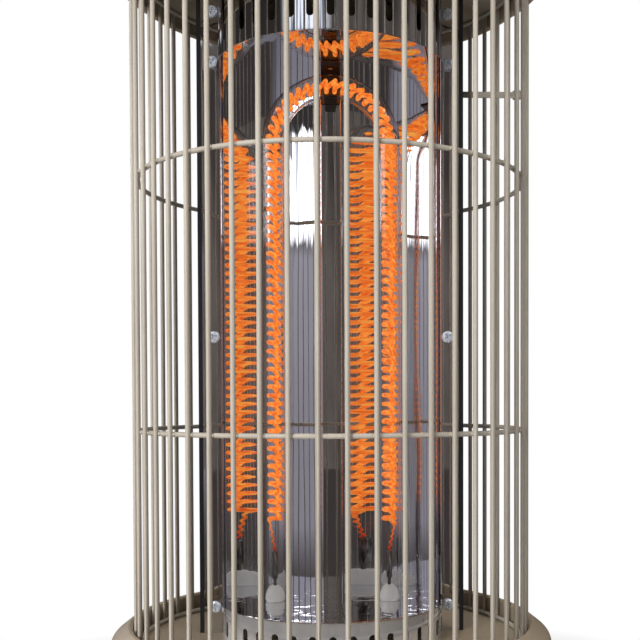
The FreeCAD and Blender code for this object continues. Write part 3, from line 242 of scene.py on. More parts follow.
def steel(name, pale, deep, roughness, metallic=1.0):
    """Plated or plain steel with fine scratches."""
    finish = Finish(bpy.data.materials.new(name))
    scratch = finish.noise(900.0, 3.0, finish.stretched((1.0, 1.0, 0.12)))
    shade = finish.ramp(scratch, [(0.3, deep), (0.7, pale)])
    skin = finish.bump(scratch, 0.08, 0.0002)
    gloss = finish.spread(scratch, 0.3, 0.7, roughness - 0.06, roughness + 0.08)
    return finish.end(finish.surface(Base_Color=shade, Metallic=metallic, Roughness=gloss, Normal=skin))


def quartz_glass(name):
    """Clear fused quartz with faint draw lines."""
    finish = Finish(bpy.data.materials.new(name))
    streak = finish.noise(25.0, 2.0, finish.stretched((1.0, 1.0, 0.06)))
    skin = finish.bump(streak, 0.05, 0.0004)
    gloss = finish.spread(streak, 0.3, 0.8, 0.0, 0.02)
    shader = finish.surface(
        Base_Color=colour(1.0, 1.0, 1.0), Roughness=gloss, Normal=skin, IOR=1.46, Transmission_Weight=1.0)
    return finish.end(shader)


def hot_wire(name):
    """Resistance wire at orange heat, duller towards its cooler ends and along its oxide flecks."""
    finish = Finish(bpy.data.materials.new(name))
    fleck = finish.noise(420.0, 3.0)
    warm = finish.spread(finish.along("Z"), 0.150, 0.182, 0.0, 1.0)
    heats = [(0.30, (0.70, 0.085, 0.010)), (0.50, (1.0, 0.225, 0.026)), (0.70, (1.0, 0.44, 0.075))]
    glow = finish.mix(warm, colour(0.30, 0.012, 0.003), finish.ramp(fleck, heats))
    shader = finish.surface(
        Base_Color=colour(0.16, 0.05, 0.03), Roughness=0.7, Emission_Color=glow, Emission_Strength=1.0)
    return finish.end(shader)


def fired_ceramic(name):
    """Unglazed white, with a slight glow in place of the light that the mirrors throw back at it."""
    finish = Finish(bpy.data.materials.new(name))
    grain = finish.noise(900.0, 3.0)
    shade = finish.ramp(grain, [(0.3, (0.82, 0.81, 0.77)), (0.7, (0.92, 0.91, 0.88))])
    skin = finish.bump(grain, 0.12, 0.0003)
    shader = finish.surface(
        Base_Color=shade, Roughness=0.62, Normal=skin,
        Emission_Color=colour(1.0, 0.97, 0.93), Emission_Strength=0.16)
    return finish.end(shader)


def moulded(name, pale, deep, roughness):
    """Moulded plastic or rubber with a fine spark-eroded grain."""
    finish = Finish(bpy.data.materials.new(name))
    grain = finish.noise(1900.0, 3.0)
    broad = finish.noise(45.0, 2.0)
    shade = finish.ramp(broad, [(0.3, deep), (0.7, pale)])
    skin = finish.bump(grain, 0.16, 0.0003)
    gloss = finish.spread(grain, 0.3, 0.7, roughness - 0.06, roughness + 0.08)
    return finish.end(finish.surface(Base_Color=shade, Roughness=gloss, Normal=skin))


# Two shades of greige enamel: paler and greyer on the guard, darker and browner on the pans
guard_enamel = enamel("guard_enamel", (0.49, 0.44, 0.37), (0.42, 0.375, 0.31), 0.27)
pan_enamel = enamel("pan_enamel", (0.40, 0.32, 0.225), (0.345, 0.272, 0.185), 0.30)
black = enamel("black_enamel", (0.016, 0.016, 0.018), (0.010, 0.010, 0.012), 0.32)
mirror = polished("polished_sheet", 0.30)
flat_mirror = polished("polished_plate", 0.07)
hazy_mirror = polished("hazy_sheet", 0.07, haze=0.28)
dented_mirror = polished("dented_plate", 0.30, 0.9)
bright_steel = steel("bright_steel", (0.86, 0.88, 0.90), (0.68, 0.70, 0.73), 0.26)
zinc_plate = steel("zinc_plate", (0.84, 0.88, 0.95), (0.60, 0.66, 0.75), 0.24, 0.45)
dull_steel = steel("dull_steel", (0.20, 0.17, 0.145), (0.11, 0.09, 0.075), 0.42)
scaled_steel = steel("scaled_steel", (0.36, 0.34, 0.33), (0.012, 0.010, 0.010), 0.36)
quartz = quartz_glass("quartz")
glowing = hot_wire("glowing_wire")
ceramic = fired_ceramic("ceramic")
dark_plastic = moulded("dark_plastic", (0.045, 0.036, 0.030), (0.030, 0.024, 0.020), 0.5)
switch_plastic = moulded("switch_plastic", (0.035, 0.035, 0.037), (0.022, 0.022, 0.024), 0.5)
pale_plastic = moulded("pale_plastic", (0.62, 0.60, 0.54), (0.52, 0.50, 0.45), 0.48)
white_mark = moulded("white_mark", (0.78, 0.78, 0.76), (0.70, 0.70, 0.68), 0.55)
rubber = moulded("black_rubber", (0.022, 0.022, 0.022), (0.012, 0.012, 0.012), 0.72)


def deselect():
    bpy.ops.object.select_all(action="DESELECT")


def current():
    return bpy.context.view_layer.objects.active


def make_current(thing):
    deselect()
    thing.select_set(True)
    bpy.context.view_layer.objects.active = thing


def edit(thing):
    make_current(thing)
    bpy.ops.object.mode_set(mode="EDIT")


def leave_edit():
    bpy.ops.object.mode_set(mode="OBJECT")


def pick(thing, mode, wanted):
    """Enter edit mode with only the wanted vertices or faces selected."""
    edit(thing)
    bpy.ops.mesh.select_mode(type=mode)
    bpy.ops.mesh.select_all(action="DESELECT")
    leave_edit()
    parts = {"VERT": thing.data.vertices, "FACE": thing.data.polygons}[mode]
    for part in parts:
        part.select = wanted(part)
    edit(thing)


def merge_doubles():
    bpy.ops.mesh.select_all(action="SELECT")
    bpy.ops.mesh.remove_doubles(threshold=MERGE_GAP * MM)


def face_outwards():
    bpy.ops.mesh.select_all(action="SELECT")
    bpy.ops.mesh.normals_make_consistent(inside=False)


def apply_modifier(thing, kind, **settings):
    make_current(thing)
    modifier = thing.modifiers.new(kind.lower(), kind)
    for name, value in settings.items():
        setattr(modifier, name, value)
    bpy.ops.object.modifier_apply(modifier=modifier.name)


def settle(thing):
    """Put the object's place and turn into its mesh."""
    make_current(thing)
    bpy.ops.object.transform_apply(location=True, rotation=True, scale=True)


def copied(thing, place):
    """A copy with a mesh of its own, at a place given as a matrix."""
    copy = thing.copy()
    copy.data = thing.data.copy()
    copy.matrix_world = place
    bpy.context.scene.collection.objects.link(copy)
    return copy


def joined(name, things):
    deselect()
    for thing in things:
        thing.select_set(True)
    bpy.context.view_layer.objects.active = things[0]
    bpy.ops.object.join()
    whole = current()
    whole.name = name
    whole.data.name = name
    return whole


def smooth(thing, degrees=30):
    make_current(thing)
    bpy.ops.object.shade_smooth_by_angle(angle=math.radians(degrees))


def dress(thing, material, body="heater", replaces=()):
    thing.data.materials.clear()
    thing.data.materials.append(material)
    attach(thing, body)
    for node in replaces:
        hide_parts(node)
    return thing


def smooth_copy(node, material, body="heater"):
    """A CAD piece with its triangles welded, so that its curves shade smoothly."""
    copy = nodes[node].copy()
    copy.data = nodes[node].data.copy()
    copy.name = node + "_smooth"
    bpy.context.scene.collection.objects.link(copy)
    copy.parent = None
    for key in list(copy.keys()):
        del copy[key]
    edit(copy)
    merge_doubles()
    leave_edit()
    smooth(copy)
    return dress(copy, material, body, [node])


def upright_edge(name, x, y, low, high):
    """One upright edge, the start of a bent sheet."""
    deselect()
    bpy.ops.mesh.primitive_plane_add(size=1.0)
    sheet = current()
    sheet.name = name
    pick(sheet, "VERT", lambda vertex: vertex.co.x > 0)
    bpy.ops.mesh.delete(type="VERT")
    leave_edit()
    ends = sheet.data.vertices
    ends[0].co = Vector((x, y, low)) * MM
    ends[1].co = Vector((x, y, high)) * MM
    edit(sheet)
    bpy.ops.mesh.select_all(action="SELECT")
    return sheet


def run_to(here, x, y):
    """Draw the selected upright edge across to a new place."""
    step = Vector((x - here[0], y - here[1], 0)) * MM
    bpy.ops.mesh.extrude_region_move(TRANSFORM_OT_translate={"value": step})
    return x, y


def swing_to(here, centre, x, y, steps, clockwise):
    """Sweep the selected upright edge round a centre to a new place."""
    start = math.atan2(here[1] - centre[1], here[0] - centre[0])
    finish = math.atan2(y - centre[1], x - centre[0])
    turn = (finish - start) % (2 * math.pi)
    if clockwise:
        turn -= 2 * math.pi
    middle = Vector((centre[0], centre[1], 0)) * MM
    bpy.ops.mesh.spin(steps=steps, angle=-turn, center=middle, axis=(0, 0, 1))
    return x, y


def face_front(sheet):
    """Turn an open sheet's faces to the front, which is -Y."""
    edit(sheet)
    merge_doubles()
    bpy.ops.mesh.normals_make_consistent(inside=False)
    leave_edit()
    lean = sum(polygon.normal.y * polygon.area for polygon in sheet.data.polygons)
    if lean > 0:
        edit(sheet)
        bpy.ops.mesh.select_all(action="SELECT")
        bpy.ops.mesh.flip_normals()
        leave_edit()


def trough_depth_at(side, x):
    middle = side * LEG_X - TROUGH_SHIFT
    return TROUGH_DEPTH - TROUGH_RADIUS + math.sqrt(TROUGH_RADIUS ** 2 - (x - middle) ** 2)


def reflector():
    """The bent mirror: troughs, ridge and flanges with round bends, and flange strips above and below."""
    front = -SHEET
    centre_y = TROUGH_DEPTH - TROUGH_RADIUS
    left_in = (-HALF_OPENING, trough_depth_at(-1, -HALF_OPENING))
    left_out = (-RIDGE_HALF, trough_depth_at(-1, -RIDGE_HALF))
    right_in = (RIDGE_HALF, trough_depth_at(1, RIDGE_HALF))
    right_out = (HALF_OPENING, trough_depth_at(1, HALF_OPENING))
    sheet = upright_edge("mirror_sheet", -FLANGE_END, front, FLOOR, CEILING)
    here = (-FLANGE_END, front)
    here = run_to(here, -HALF_OPENING, front)
    here = run_to(here, *left_in)
    here = swing_to(here, (-LEG_X - TROUGH_SHIFT, centre_y), *left_out, 72, True)
    flat, back = RIDGE_HALF - RIDGE_CORNER, RIDGE_FRONT + RIDGE_CORNER
    here = run_to(here, -RIDGE_HALF, back)
    here = swing_to(here, (-flat, back), -flat, RIDGE_FRONT, 12, False)
    here = run_to(here, flat, RIDGE_FRONT)
    here = swing_to(here, (flat, back), RIDGE_HALF, back, 12, False)
    here = run_to(here, *right_in)
    here = swing_to(here, (LEG_X - TROUGH_SHIFT, centre_y), *right_out, 72, True)
    here = run_to(here, HALF_OPENING, front)
    run_to(here, FLANGE_END, front)
    leave_edit()
    strips = []
    for side in (-1, 1):
        for low, high in ((TRAY, FLOOR), (CEILING, CAP)):
            strip = upright_edge("flange_strip", side * HALF_OPENING, front, low, high)
            run_to((side * HALF_OPENING, front), side * FLANGE_END, front)
            leave_edit()
            strips.append(strip)
    face_front(sheet)
    apply_modifier(
        sheet, "BEVEL", width=BEND_ROUND * MM, segments=4, limit_method="ANGLE", angle_limit=math.radians(25))
    for strip in strips:
        face_front(strip)
    whole = joined("mirror_sheet", [sheet] + strips)
    apply_modifier(whole, "SOLIDIFY", thickness=SHEET * MM, offset=-1.0)
    smooth(whole, 40)
    dress(whole, mirror, replaces=["reflector"])


def quartz_tube():
    """Two legs and the arch of one tube, drawn from a ring and given its wall."""
    deselect()
    foot = Vector((-LEG_X, LEG_Y, TUBE_FOOT)) * MM
    bpy.ops.mesh.primitive_circle_add(vertices=48, radius=TUBE_RADIUS * MM, location=foot)
    tube = current()
    tube.name = "u_tube"
    settle(tube)
    edit(tube)
    bpy.ops.mesh.select_all(action="SELECT")
    rise = Vector((0, 0, ARCH_LEVEL - TUBE_FOOT)) * MM
    bpy.ops.mesh.extrude_region_move(TRANSFORM_OT_translate={"value": rise})
    crown = Vector((0, LEG_Y, ARCH_LEVEL)) * MM
    bpy.ops.mesh.spin(steps=72, angle=-math.pi, center=crown, axis=(0, 1, 0))
    bpy.ops.mesh.extrude_region_move(TRANSFORM_OT_translate={"value": -rise})
    merge_doubles()
    face_outwards()
    leave_edit()
    apply_modifier(tube, "SOLIDIFY", thickness=TUBE_WALL * MM, offset=-1.0)
    smooth(tube, 50)
    dress(tube, quartz, replaces=["quartz_tube"])


def within(share):
    """A share held between nothing and the whole."""
    return min(1.0, max(0.0, share))


def coil_point(share):
    """A point of the coil: each turn lies level behind, on the left, and steps up across its front."""
    leg = ARCH_LEVEL - COIL_FOOT
    length = 2 * leg + math.pi * LEG_X
    turn = 2 * math.pi * COIL_TURNS * share
    level_side = math.radians(LEVEL_SIDE + LEVEL_DRIFT * share)
    number, part = divmod((turn - level_side) / (2 * math.pi), 1)
    step = within((part - STEP_FROM_SHARE) / STEP_SHARE)
    step = step * step * (3 - 2 * step)
    passed = length * within((number + step + 0.5) / COIL_TURNS)
    if passed < leg:
        middle, outward = Vector((-LEG_X, LEG_Y, COIL_FOOT + passed)), Vector((-1, 0, 0))
    elif passed > length - leg:
        middle, outward = Vector((LEG_X, LEG_Y, COIL_FOOT + length - passed)), Vector((1, 0, 0))
    else:
        angle = math.pi - (passed - leg) / LEG_X
        outward = Vector((math.cos(angle), 0, math.sin(angle)))
        middle = Vector((0, LEG_Y, ARCH_LEVEL)) + outward * LEG_X
    uneven = 1 + sum(size * math.sin(turn * pace + start) for size, pace, start in UNEVEN_SHARES)
    aside = outward * (COIL_RADIUS * uneven * math.cos(turn))
    return middle + aside + Vector((0, COIL_RADIUS * math.sin(turn), 0))


def tail_points(side, first):
    """The twisted tail from a crimp up to the coil's first turn."""
    low = Vector((side * LEG_X, LEG_Y, CRIMP_TOP))
    points = []
    for step in range(TAIL_POINTS):
        share = step / TAIL_POINTS
        twist = 2 * math.pi * TAIL_TWISTS * share
        sway = Vector((math.cos(twist), math.sin(twist), 0)) * (TAIL_SWAY * (1 - share) + TAIL_SLACK)
        points.append(low.lerp(first, share) + sway)
    return points


def heating_coil():
    """One wire: a thin twisted tail, the winding up one leg and down the other, and the second tail."""
    steps = COIL_TURNS * TURN_POINTS
    winding = [coil_point(step / steps) for step in range(steps + 1)]
    line = tail_points(-1, winding[0]) + winding + tail_points(1, winding[-1])[::-1]
    path = bpy.data.curves.new("hot_coil", "CURVE")
    path.dimensions = "3D"
    spline = path.splines.new("POLY")
    spline.points.add(len(line) - 1)
    for number, (point, place) in enumerate(zip(spline.points, line)):
        point.co = (*(place * MM), 1.0)
        in_tail = min(number, len(line) - 1 - number) < TAIL_POINTS - 2
        point.radius = TAIL_THICKNESS_SHARE if in_tail else 1.0
    path.bevel_depth = COIL_WIRE / 2 * MM
    path.bevel_resolution = 2
    path.use_fill_caps = True
    coil = bpy.data.objects.new("hot_coil", path)
    bpy.context.scene.collection.objects.link(coil)
    make_current(coil)
    bpy.ops.object.convert(target="MESH")
    coil = current()
    edit(coil)
    merge_doubles()
    face_outwards()
    leave_edit()
    smooth(coil, 60)
    dress(coil, glowing, replaces=["heating_coil"])


def slot_tools(low, high):
    """A row of round-ended bars that cut a band's slots."""
    half = SLOT_WIDTH / 2
    deselect()
    bpy.ops.mesh.primitive_cylinder_add(
        vertices=32, radius=half * MM, depth=SLOT_TOOL * MM, rotation=(math.pi / 2, 0, 0),
        location=Vector((0, -BAND_RADIUS, low + half)) * MM)
    first = current()
    settle(first)
    pick(first, "VERT", lambda vertex: vertex.co.z > (low + half + SLOT_HAIR) * MM)
    bpy.ops.transform.translate(value=(0, 0, (high - low - SLOT_WIDTH) * MM))
    leave_edit()
    bars = []
    for number in range(SLOT_COUNT):
        angle = math.radians((number - (SLOT_COUNT - 1) / 2) * SLOT_PITCH)
        bars.append(copied(first, Matrix.Rotation(angle, 4, "Z")))
    bpy.data.objects.remove(first)
    whole = joined("slot_tools", bars)
    settle(whole)
    return whole


def vent_band(name, node, material, ends, slot_ends, screw_level):
    """Half a polished cylinder with a row of round-ended slots and an ear at each end."""
    low, high = ends
    deselect()
    middle = Vector((0, 0, (low + high) / 2)) * MM
    bpy.ops.mesh.primitive_cylinder_add(
        vertices=480, radius=BAND_RADIUS * MM, depth=(high - low) * MM,
        end_fill_type="NOTHING", location=middle)
    band = current()
    settle(band)
    pick(band, "VERT", lambda vertex: vertex.co.y > -SHEET * MM)
    bpy.ops.mesh.delete(type="VERT")
    face_outwards()
    leave_edit()
    apply_modifier(band, "SOLIDIFY", thickness=SHEET * MM, offset=-1.0)
    combine(band, "DIFFERENCE", slot_tools(*slot_ends))
    pieces = [band]
    for side in (-1, 1):
        deselect()
        middle = Vector((side * EAR_MIDDLE, -1.5 * SHEET, screw_level)) * MM
        bpy.ops.mesh.primitive_cube_add(size=1.0, location=middle)
        ear = current()
        ear.scale = Vector((EAR_LENGTH, SHEET, EAR_HEIGHT)) * MM
        settle(ear)
        pieces.append(ear)
    whole = joined(name, pieces)
    smooth(whole, 30)
    dress(whole, material, replaces=[node])


def arc(centre, radius, first, last, steps):
    """Points of an arc between two angles in degrees."""
    x, y = centre
    angles = [math.radians(first + (last - first) * step / steps) for step in range(steps + 1)]
    return [(x + radius * math.cos(angle), y + radius * math.sin(angle)) for angle in angles]


def turned(name, outline, x=0.0, y=0.0, lift=0.0, steps=48):
    """A closed outline of reach and height, spun round an upright axis."""
    deselect()
    bpy.ops.mesh.primitive_circle_add(vertices=len(outline), radius=1.0)
    piece = current()
    piece.name = name
    for vertex, (reach, rise) in zip(piece.data.vertices, outline):
        vertex.co = Vector((x + reach, y, lift + rise)) * MM
    edit(piece)
    bpy.ops.mesh.select_all(action="SELECT")
    bpy.ops.mesh.spin(steps=steps, angle=2 * math.pi, center=Vector((x, y, 0)) * MM, axis=(0, 0, 1))
    merge_doubles()
    face_outwards()
    leave_edit()
    return piece


def round_bar(radius, x, y, low, high, vertices=64):
    """An upright bar, as a tool for cutting."""
    deselect()
    bpy.ops.mesh.primitive_cylinder_add(
        vertices=vertices, radius=radius * MM, depth=(high - low) * MM,
        location=Vector((x, y, (low + high) / 2)) * MM)
    bar = current()
    settle(bar)
    return bar


def lay_forward(piece, depth, level):
    """Turn an upright piece so that its top faces the front, with its zero at a depth and level."""
    place = Matrix.Translation(Vector((0, depth, level)) * MM)
    piece.matrix_world = place @ Matrix.Rotation(math.pi / 2, 4, "X")
    settle(piece)
    return piece


def combine(piece, operation, tool):
    """Cut a piece by a tool, or keep what they share, and put the tool away."""
    apply_modifier(piece, "BOOLEAN", operation=operation, object=tool, solver="EXACT")
    bpy.data.objects.remove(tool)


def base_pan():
    """The deep-drawn base: skirt, sloping shoulder, rolled lip, channel and tray, with its holes."""
    crest = 90 - BASE_SLOPE
    inner_lip = LIP_AT[0] - LIP_RADIUS
    outside = [(BASE_RADIUS, BASE_FOOT)]
    outside += arc(SHOULDER_AT, SHOULDER_RADIUS, 0, crest, 8) + arc(LIP_AT, LIP_RADIUS, crest, 180, 12)
    outside += [(inner_lip, CHANNEL), (TRAY_RADIUS, CHANNEL), (TRAY_RADIUS, TRAY), (0, TRAY)]
    under_tray, under_channel, tray_edge = TRAY - BASE_GAUGE, CHANNEL - BASE_GAUGE, TRAY_RADIUS - BASE_GAUGE
    inside = [(0, under_tray), (tray_edge, under_tray), (tray_edge, under_channel)]
    inside += [(inner_lip + BASE_GAUGE, under_channel)] + arc(LIP_AT, LIP_RADIUS - BASE_GAUGE, 180, crest, 12)
    inside += arc(SHOULDER_AT, SHOULDER_RADIUS - BASE_GAUGE, crest, 0, 8)
    inside += [(BASE_RADIUS - BASE_GAUGE, BASE_FOOT)]
    pan = turned("base_pan", outside + inside, steps=360)
    through = TRAY - OVERRUN, TRAY + OVERRUN
    tools = [lay_forward(round_bar(DISH_HOLE, 0, 0, 0, SKIRT_CUT, 96), FRONT_CUT_AT, DISH_LEVEL)]
    tools.append(lay_forward(round_bar(BUSH_HOLE, 0, 0, 0, SKIRT_CUT), REAR_CUT_AT, BUSH_LEVEL))
    tools += [round_bar(LEAD_HOLE, side * LEG_X, LEG_Y, *through) for side in (-1, 1)]
    for angle in TAB_ANGLES:
        turn = math.radians(angle)
        spot = TAB_SCREW_RADIUS * math.cos(turn), TAB_SCREW_RADIUS * math.sin(turn)
        tools.append(round_bar(TAB_HOLE, *spot, *through, 32))
    combine(pan, "DIFFERENCE", joined("base_holes", tools))
    smooth(pan, 30)
    dress(pan, pan_enamel, replaces=["base_shell"])


def knob_dish():
    """The moulded dish round the knob; its rim follows the curve of the skirt."""
    inner = DISH_RADIUS - DISH_WALL
    outline = [(DISH_BORE, -DISH_WALL), (DISH_RADIUS, -DISH_WALL), (DISH_RADIUS, DISH_STEP)]
    outline += [(DISH_RIM, DISH_STEP), (DISH_RIM, DISH_DEPTH), (inner, DISH_DEPTH)]
    outline += arc((inner - DISH_FILLET, DISH_FILLET), DISH_FILLET, 0, -90, 6) + [(DISH_BORE, 0.0)]
    dish = lay_forward(turned("knob_dish", outline, steps=96), -DISH_FLOOR, DISH_LEVEL)
    beyond = DISH_RIM + OVERRUN
    undercut = [(DISH_RADIUS, UNDERCUT_LOW), (beyond, UNDERCUT_LOW)]
    undercut += [(beyond, UNDERCUT_HIGH), (DISH_RADIUS, UNDERCUT_HIGH)]
    tool = lay_forward(turned("rim_undercut", undercut, steps=96), -DISH_FLOOR, DISH_LEVEL)
    combine(tool, "INTERSECT", round_bar(SKIRT_SEAT, 0, 0, 0, BASE_TOP, 480))
    combine(dish, "DIFFERENCE", tool)
    combine(dish, "INTERSECT", round_bar(DISH_PROUD, 0, 0, 0, BASE_TOP, 480))
    smooth(dish, 30)
    dress(dish, dark_plastic, replaces=["control_dish"])


def beads():
    """A pear-shaped white bead at the foot of each leg of the tube."""
    both = [turned("pear_bead", BEAD_OUTLINE, side * LEG_X, LEG_Y, FLOOR) for side in (-1, 1)]
    whole = joined("pear_beads", both)
    smooth(whole, 50)
    dress(whole, ceramic, replaces=["ceramic_beads"])


def weld_beads():
    """A small fillet of weld and paint on each side of every crossing of a ring and an upright wire."""
    deselect()
    bpy.ops.mesh.primitive_uv_sphere_add(segments=10, ring_count=6, radius=WELD_RADIUS * MM)
    bead = current()
    edit(bead)
    bpy.ops.mesh.select_all(action="SELECT")
    bpy.ops.transform.resize(value=WELD_SHARES)
    leave_edit()
    reach = RING_RADIUS + WIRE_RADIUS
    copies = []
    for level in RING_LEVELS:
        for number in range(WIRE_COUNT):
            for side in (-1, 1):
                angle = math.radians((number + 0.5) * 360 / WIRE_COUNT - 90) + side * WELD_ANGLE
                spot = Vector((reach * math.cos(angle), reach * math.sin(angle), level)) * MM
                copies.append(copied(bead, Matrix.Translation(spot) @ Matrix.Rotation(angle, 4, "Z")))
    bpy.data.objects.remove(bead)
    whole = joined("weld_beads", copies)
    settle(whole)
    smooth(whole, 80)
    dress(whole, guard_enamel)


def cross_head_screw(radius, height, shank, length):
    """A pan-head screw with a cross recess; its seat is at zero and its head points up."""
    deselect()
    bpy.ops.mesh.primitive_cylinder_add(
        vertices=40, radius=radius * MM, depth=height * MM, location=(0, 0, height * MM / 2))
    screw = current()
    settle(screw)
    crest = height * MM * CREST_SHARE
    pick(screw, "VERT", lambda vertex: vertex.co.z > crest)
    bpy.ops.mesh.bevel(offset=height * MM * DOME_SHARE, segments=5, profile=0.5, affect="EDGES")
    leave_edit()
    pick(screw, "FACE", lambda polygon: polygon.normal.z < -0.9)
    bpy.ops.mesh.inset(thickness=(radius - shank) * MM)
    bpy.ops.mesh.extrude_region_move(TRANSFORM_OT_translate={"value": (0, 0, -length * MM)})
    leave_edit()
    long_share, wide_share, deep_share = RECESS_SHARES
    for turn in (0, math.pi / 2):
        deselect()
        bpy.ops.mesh.primitive_cube_add(size=1.0, location=(0, 0, height * MM), rotation=(0, 0, turn))
        arm = current()
        arm.scale = Vector((radius * long_share, radius * wide_share, height * deep_share)) * MM
        settle(arm)
        combine(screw, "DIFFERENCE", arm)
    smooth(screw, 35)
    return screw


def screw_set(name, master, places, material, node):
    """Copies of a screw at places given as a point and the direction of the head."""
    copies = []
    for number, (point, way) in enumerate(places):
        facing = Vector(way).to_track_quat("Z", "Y").to_matrix().to_4x4()
        twist = Matrix.Rotation(math.radians(NEXT_TWIST * number + FIRST_TWIST), 4, "Z")
        copies.append(copied(master, Matrix.Translation(Vector(point) * MM) @ facing @ twist))
    whole = joined(name, copies)
    settle(whole)
    smooth(whole, 35)
    dress(whole, material, replaces=[node])


def screws():
    """The screws of the flanges, of the drum's tabs and of the cap's rim."""
    pan_head = cross_head_screw(**PAN_HEAD)
    flange_places = []
    for side in (-1, 1):
        for number, level in enumerate(FLANGE_SCREW_LEVELS):
            # The first and the last screw also hold a vent band's ear
            seat = -SHEET * (2 if number in (0, 3) else 1)
            flange_places.append(((side * FLANGE_SCREW_X, seat, level), (0, -1, 0)))
    screw_set("flange_pan_heads", pan_head, flange_places, zinc_plate, "flange_screws")
    tab_places = []
    for angle in TAB_ANGLES:
        x = TAB_SCREW_RADIUS * math.cos(math.radians(angle))
        y = TAB_SCREW_RADIUS * math.sin(math.radians(angle))
        tab_places.append(((x, y, TRAY + SHEET), (0, 0, 1)))
        tab_places.append(((x, y, CAP - SHEET), (0, 0, -1)))
    screw_set("tab_pan_heads", pan_head, tab_places, bright_steel, "drum_screws")
    bpy.data.objects.remove(pan_head)
    rim_head = cross_head_screw(**RIM_HEAD)
    low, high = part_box("cap_screws")
    rim_level = (low.z + high.z) / 2 / MM
    rim_places = []
    for angle in CAP_SCREW_ANGLES:
        way = Vector((math.cos(math.radians(angle)), math.sin(math.radians(angle)), 0))
        rim_places.append((way * CAP_RIM + Vector((0, 0, rim_level)), way))
    screw_set("rim_pan_heads", rim_head, rim_places, bright_steel, "cap_screws")
    bpy.data.objects.remove(rim_head)


def knob_pointer():
    """The white line that fills the knob's pointer groove."""
    deselect()
    bpy.ops.mesh.primitive_cube_add(size=1.0)
    line = current()
    line.name = "pointer_line"
    line.scale = Vector(POINTER_SIZE) * MM
    line.location = Vector((0, -DISH_FLOOR - POINTER_DEPTH, DISH_LEVEL + POINTER_RISE)) * MM
    settle(line)
    apply_modifier(line, "BEVEL", width=POINTER_ROUND * MM, segments=2)
    dress(line, white_mark, body="heat_knob")


def carried_over():
    """CAD pieces that keep their shape, welded for smooth shading."""
    for node in ("cap_pan", "top_cap"):
        smooth_copy(node, pan_enamel)
    for node in (
            "guard_wires", "guard_bottom_ring", "guard_lower_ring",
            "guard_upper_ring", "guard_top_ring", "guard_stay"):
        smooth_copy(node, guard_enamel)
    for node in ("rear_cover", "bottom_plate"):
        smooth_copy(node, black)
    for node, material in (("floor_plate", dented_mirror), ("ceiling_plate", flat_mirror)):
        plate = smooth_copy(node, material)
        apply_modifier(
            plate, "BEVEL", width=PLATE_ROUND * MM, segments=2,
            limit_method="ANGLE", angle_limit=math.radians(50))
        bpy.ops.object.shade_flat()
    smooth_copy("crown_bracket", dull_steel)
    smooth_copy("element_terminals", scaled_steel)
    for node in ("base_posts", "foot_screws", "bracket_screw", "switch_nut"):
        smooth_copy(node, bright_steel)
    smooth_copy("switch_shaft", bright_steel, body="heat_knob")
    smooth_copy("tip_spring", bright_steel)
    smooth_copy("control_knob", dark_plastic, body="heat_knob")
    for node in ("rotary_switch", "tip_switch_body", "thermal_cutout"):
        smooth_copy(node, switch_plastic)
    smooth_copy("terminal_block", pale_plastic)
    smooth_copy("tip_plunger", pale_plastic, body="tip_foot")
    for node in ("rubber_feet", "inlet_grommet"):
        smooth_copy(node, rubber)


def stage_mesh(thing, name, shader_of):
    """Name a studio piece and give it a finish; it is attached to no body."""
    thing.name = name
    finish = Finish(bpy.data.materials.new(name))
    finish.end(shader_of(finish))
    thing.data.materials.append(finish.owner)
    return thing


def shown_plain(finish):
    """One for what the camera, a mirror or glass looks at, and nothing for light that falls on the object."""
    names = ("Is Camera Ray", "Is Glossy Ray", "Is Transmission Ray")
    rays = [finish.node("ShaderNodeLightPath", output=name) for name in names]
    return rays[0] + rays[1] + rays[2]


def white_floor(finish):
    """Pale round the object, so that it throws a shadow, and plain white further out."""
    share = finish.spread(finish.reach(), 0.27, 0.44, 0.0, 1.0)
    pale = finish.surface(Base_Color=colour(0.80, 0.80, 0.80), Roughness=0.8)
    strength = finish.spread(shown_plain(finish), 0.0, 1.0, 0.35, 1.0)
    plain = finish.node("ShaderNodeEmission", sockets={"Color": colour(1, 1, 1), "Strength": strength})
    return finish.node("ShaderNodeMixShader", sockets={0: share, 1: pale, 2: plain})


def room_floor(finish):
    """The room's floor: pale in the window's light to the left, and dark elsewhere."""
    lit = finish.ramp(finish.reach() * 0.25, [(0.15, (0.05, 0.045, 0.045)), (0.32, (0.26, 0.25, 0.29))])
    to_right = finish.spread(finish.along("X"), -0.6, -0.2, 0.0, 1.0)
    shade = finish.mix(to_right, lit, colour(0.050, 0.042, 0.040))
    return finish.node("ShaderNodeEmission", sockets={"Color": shade, "Strength": 1.0})


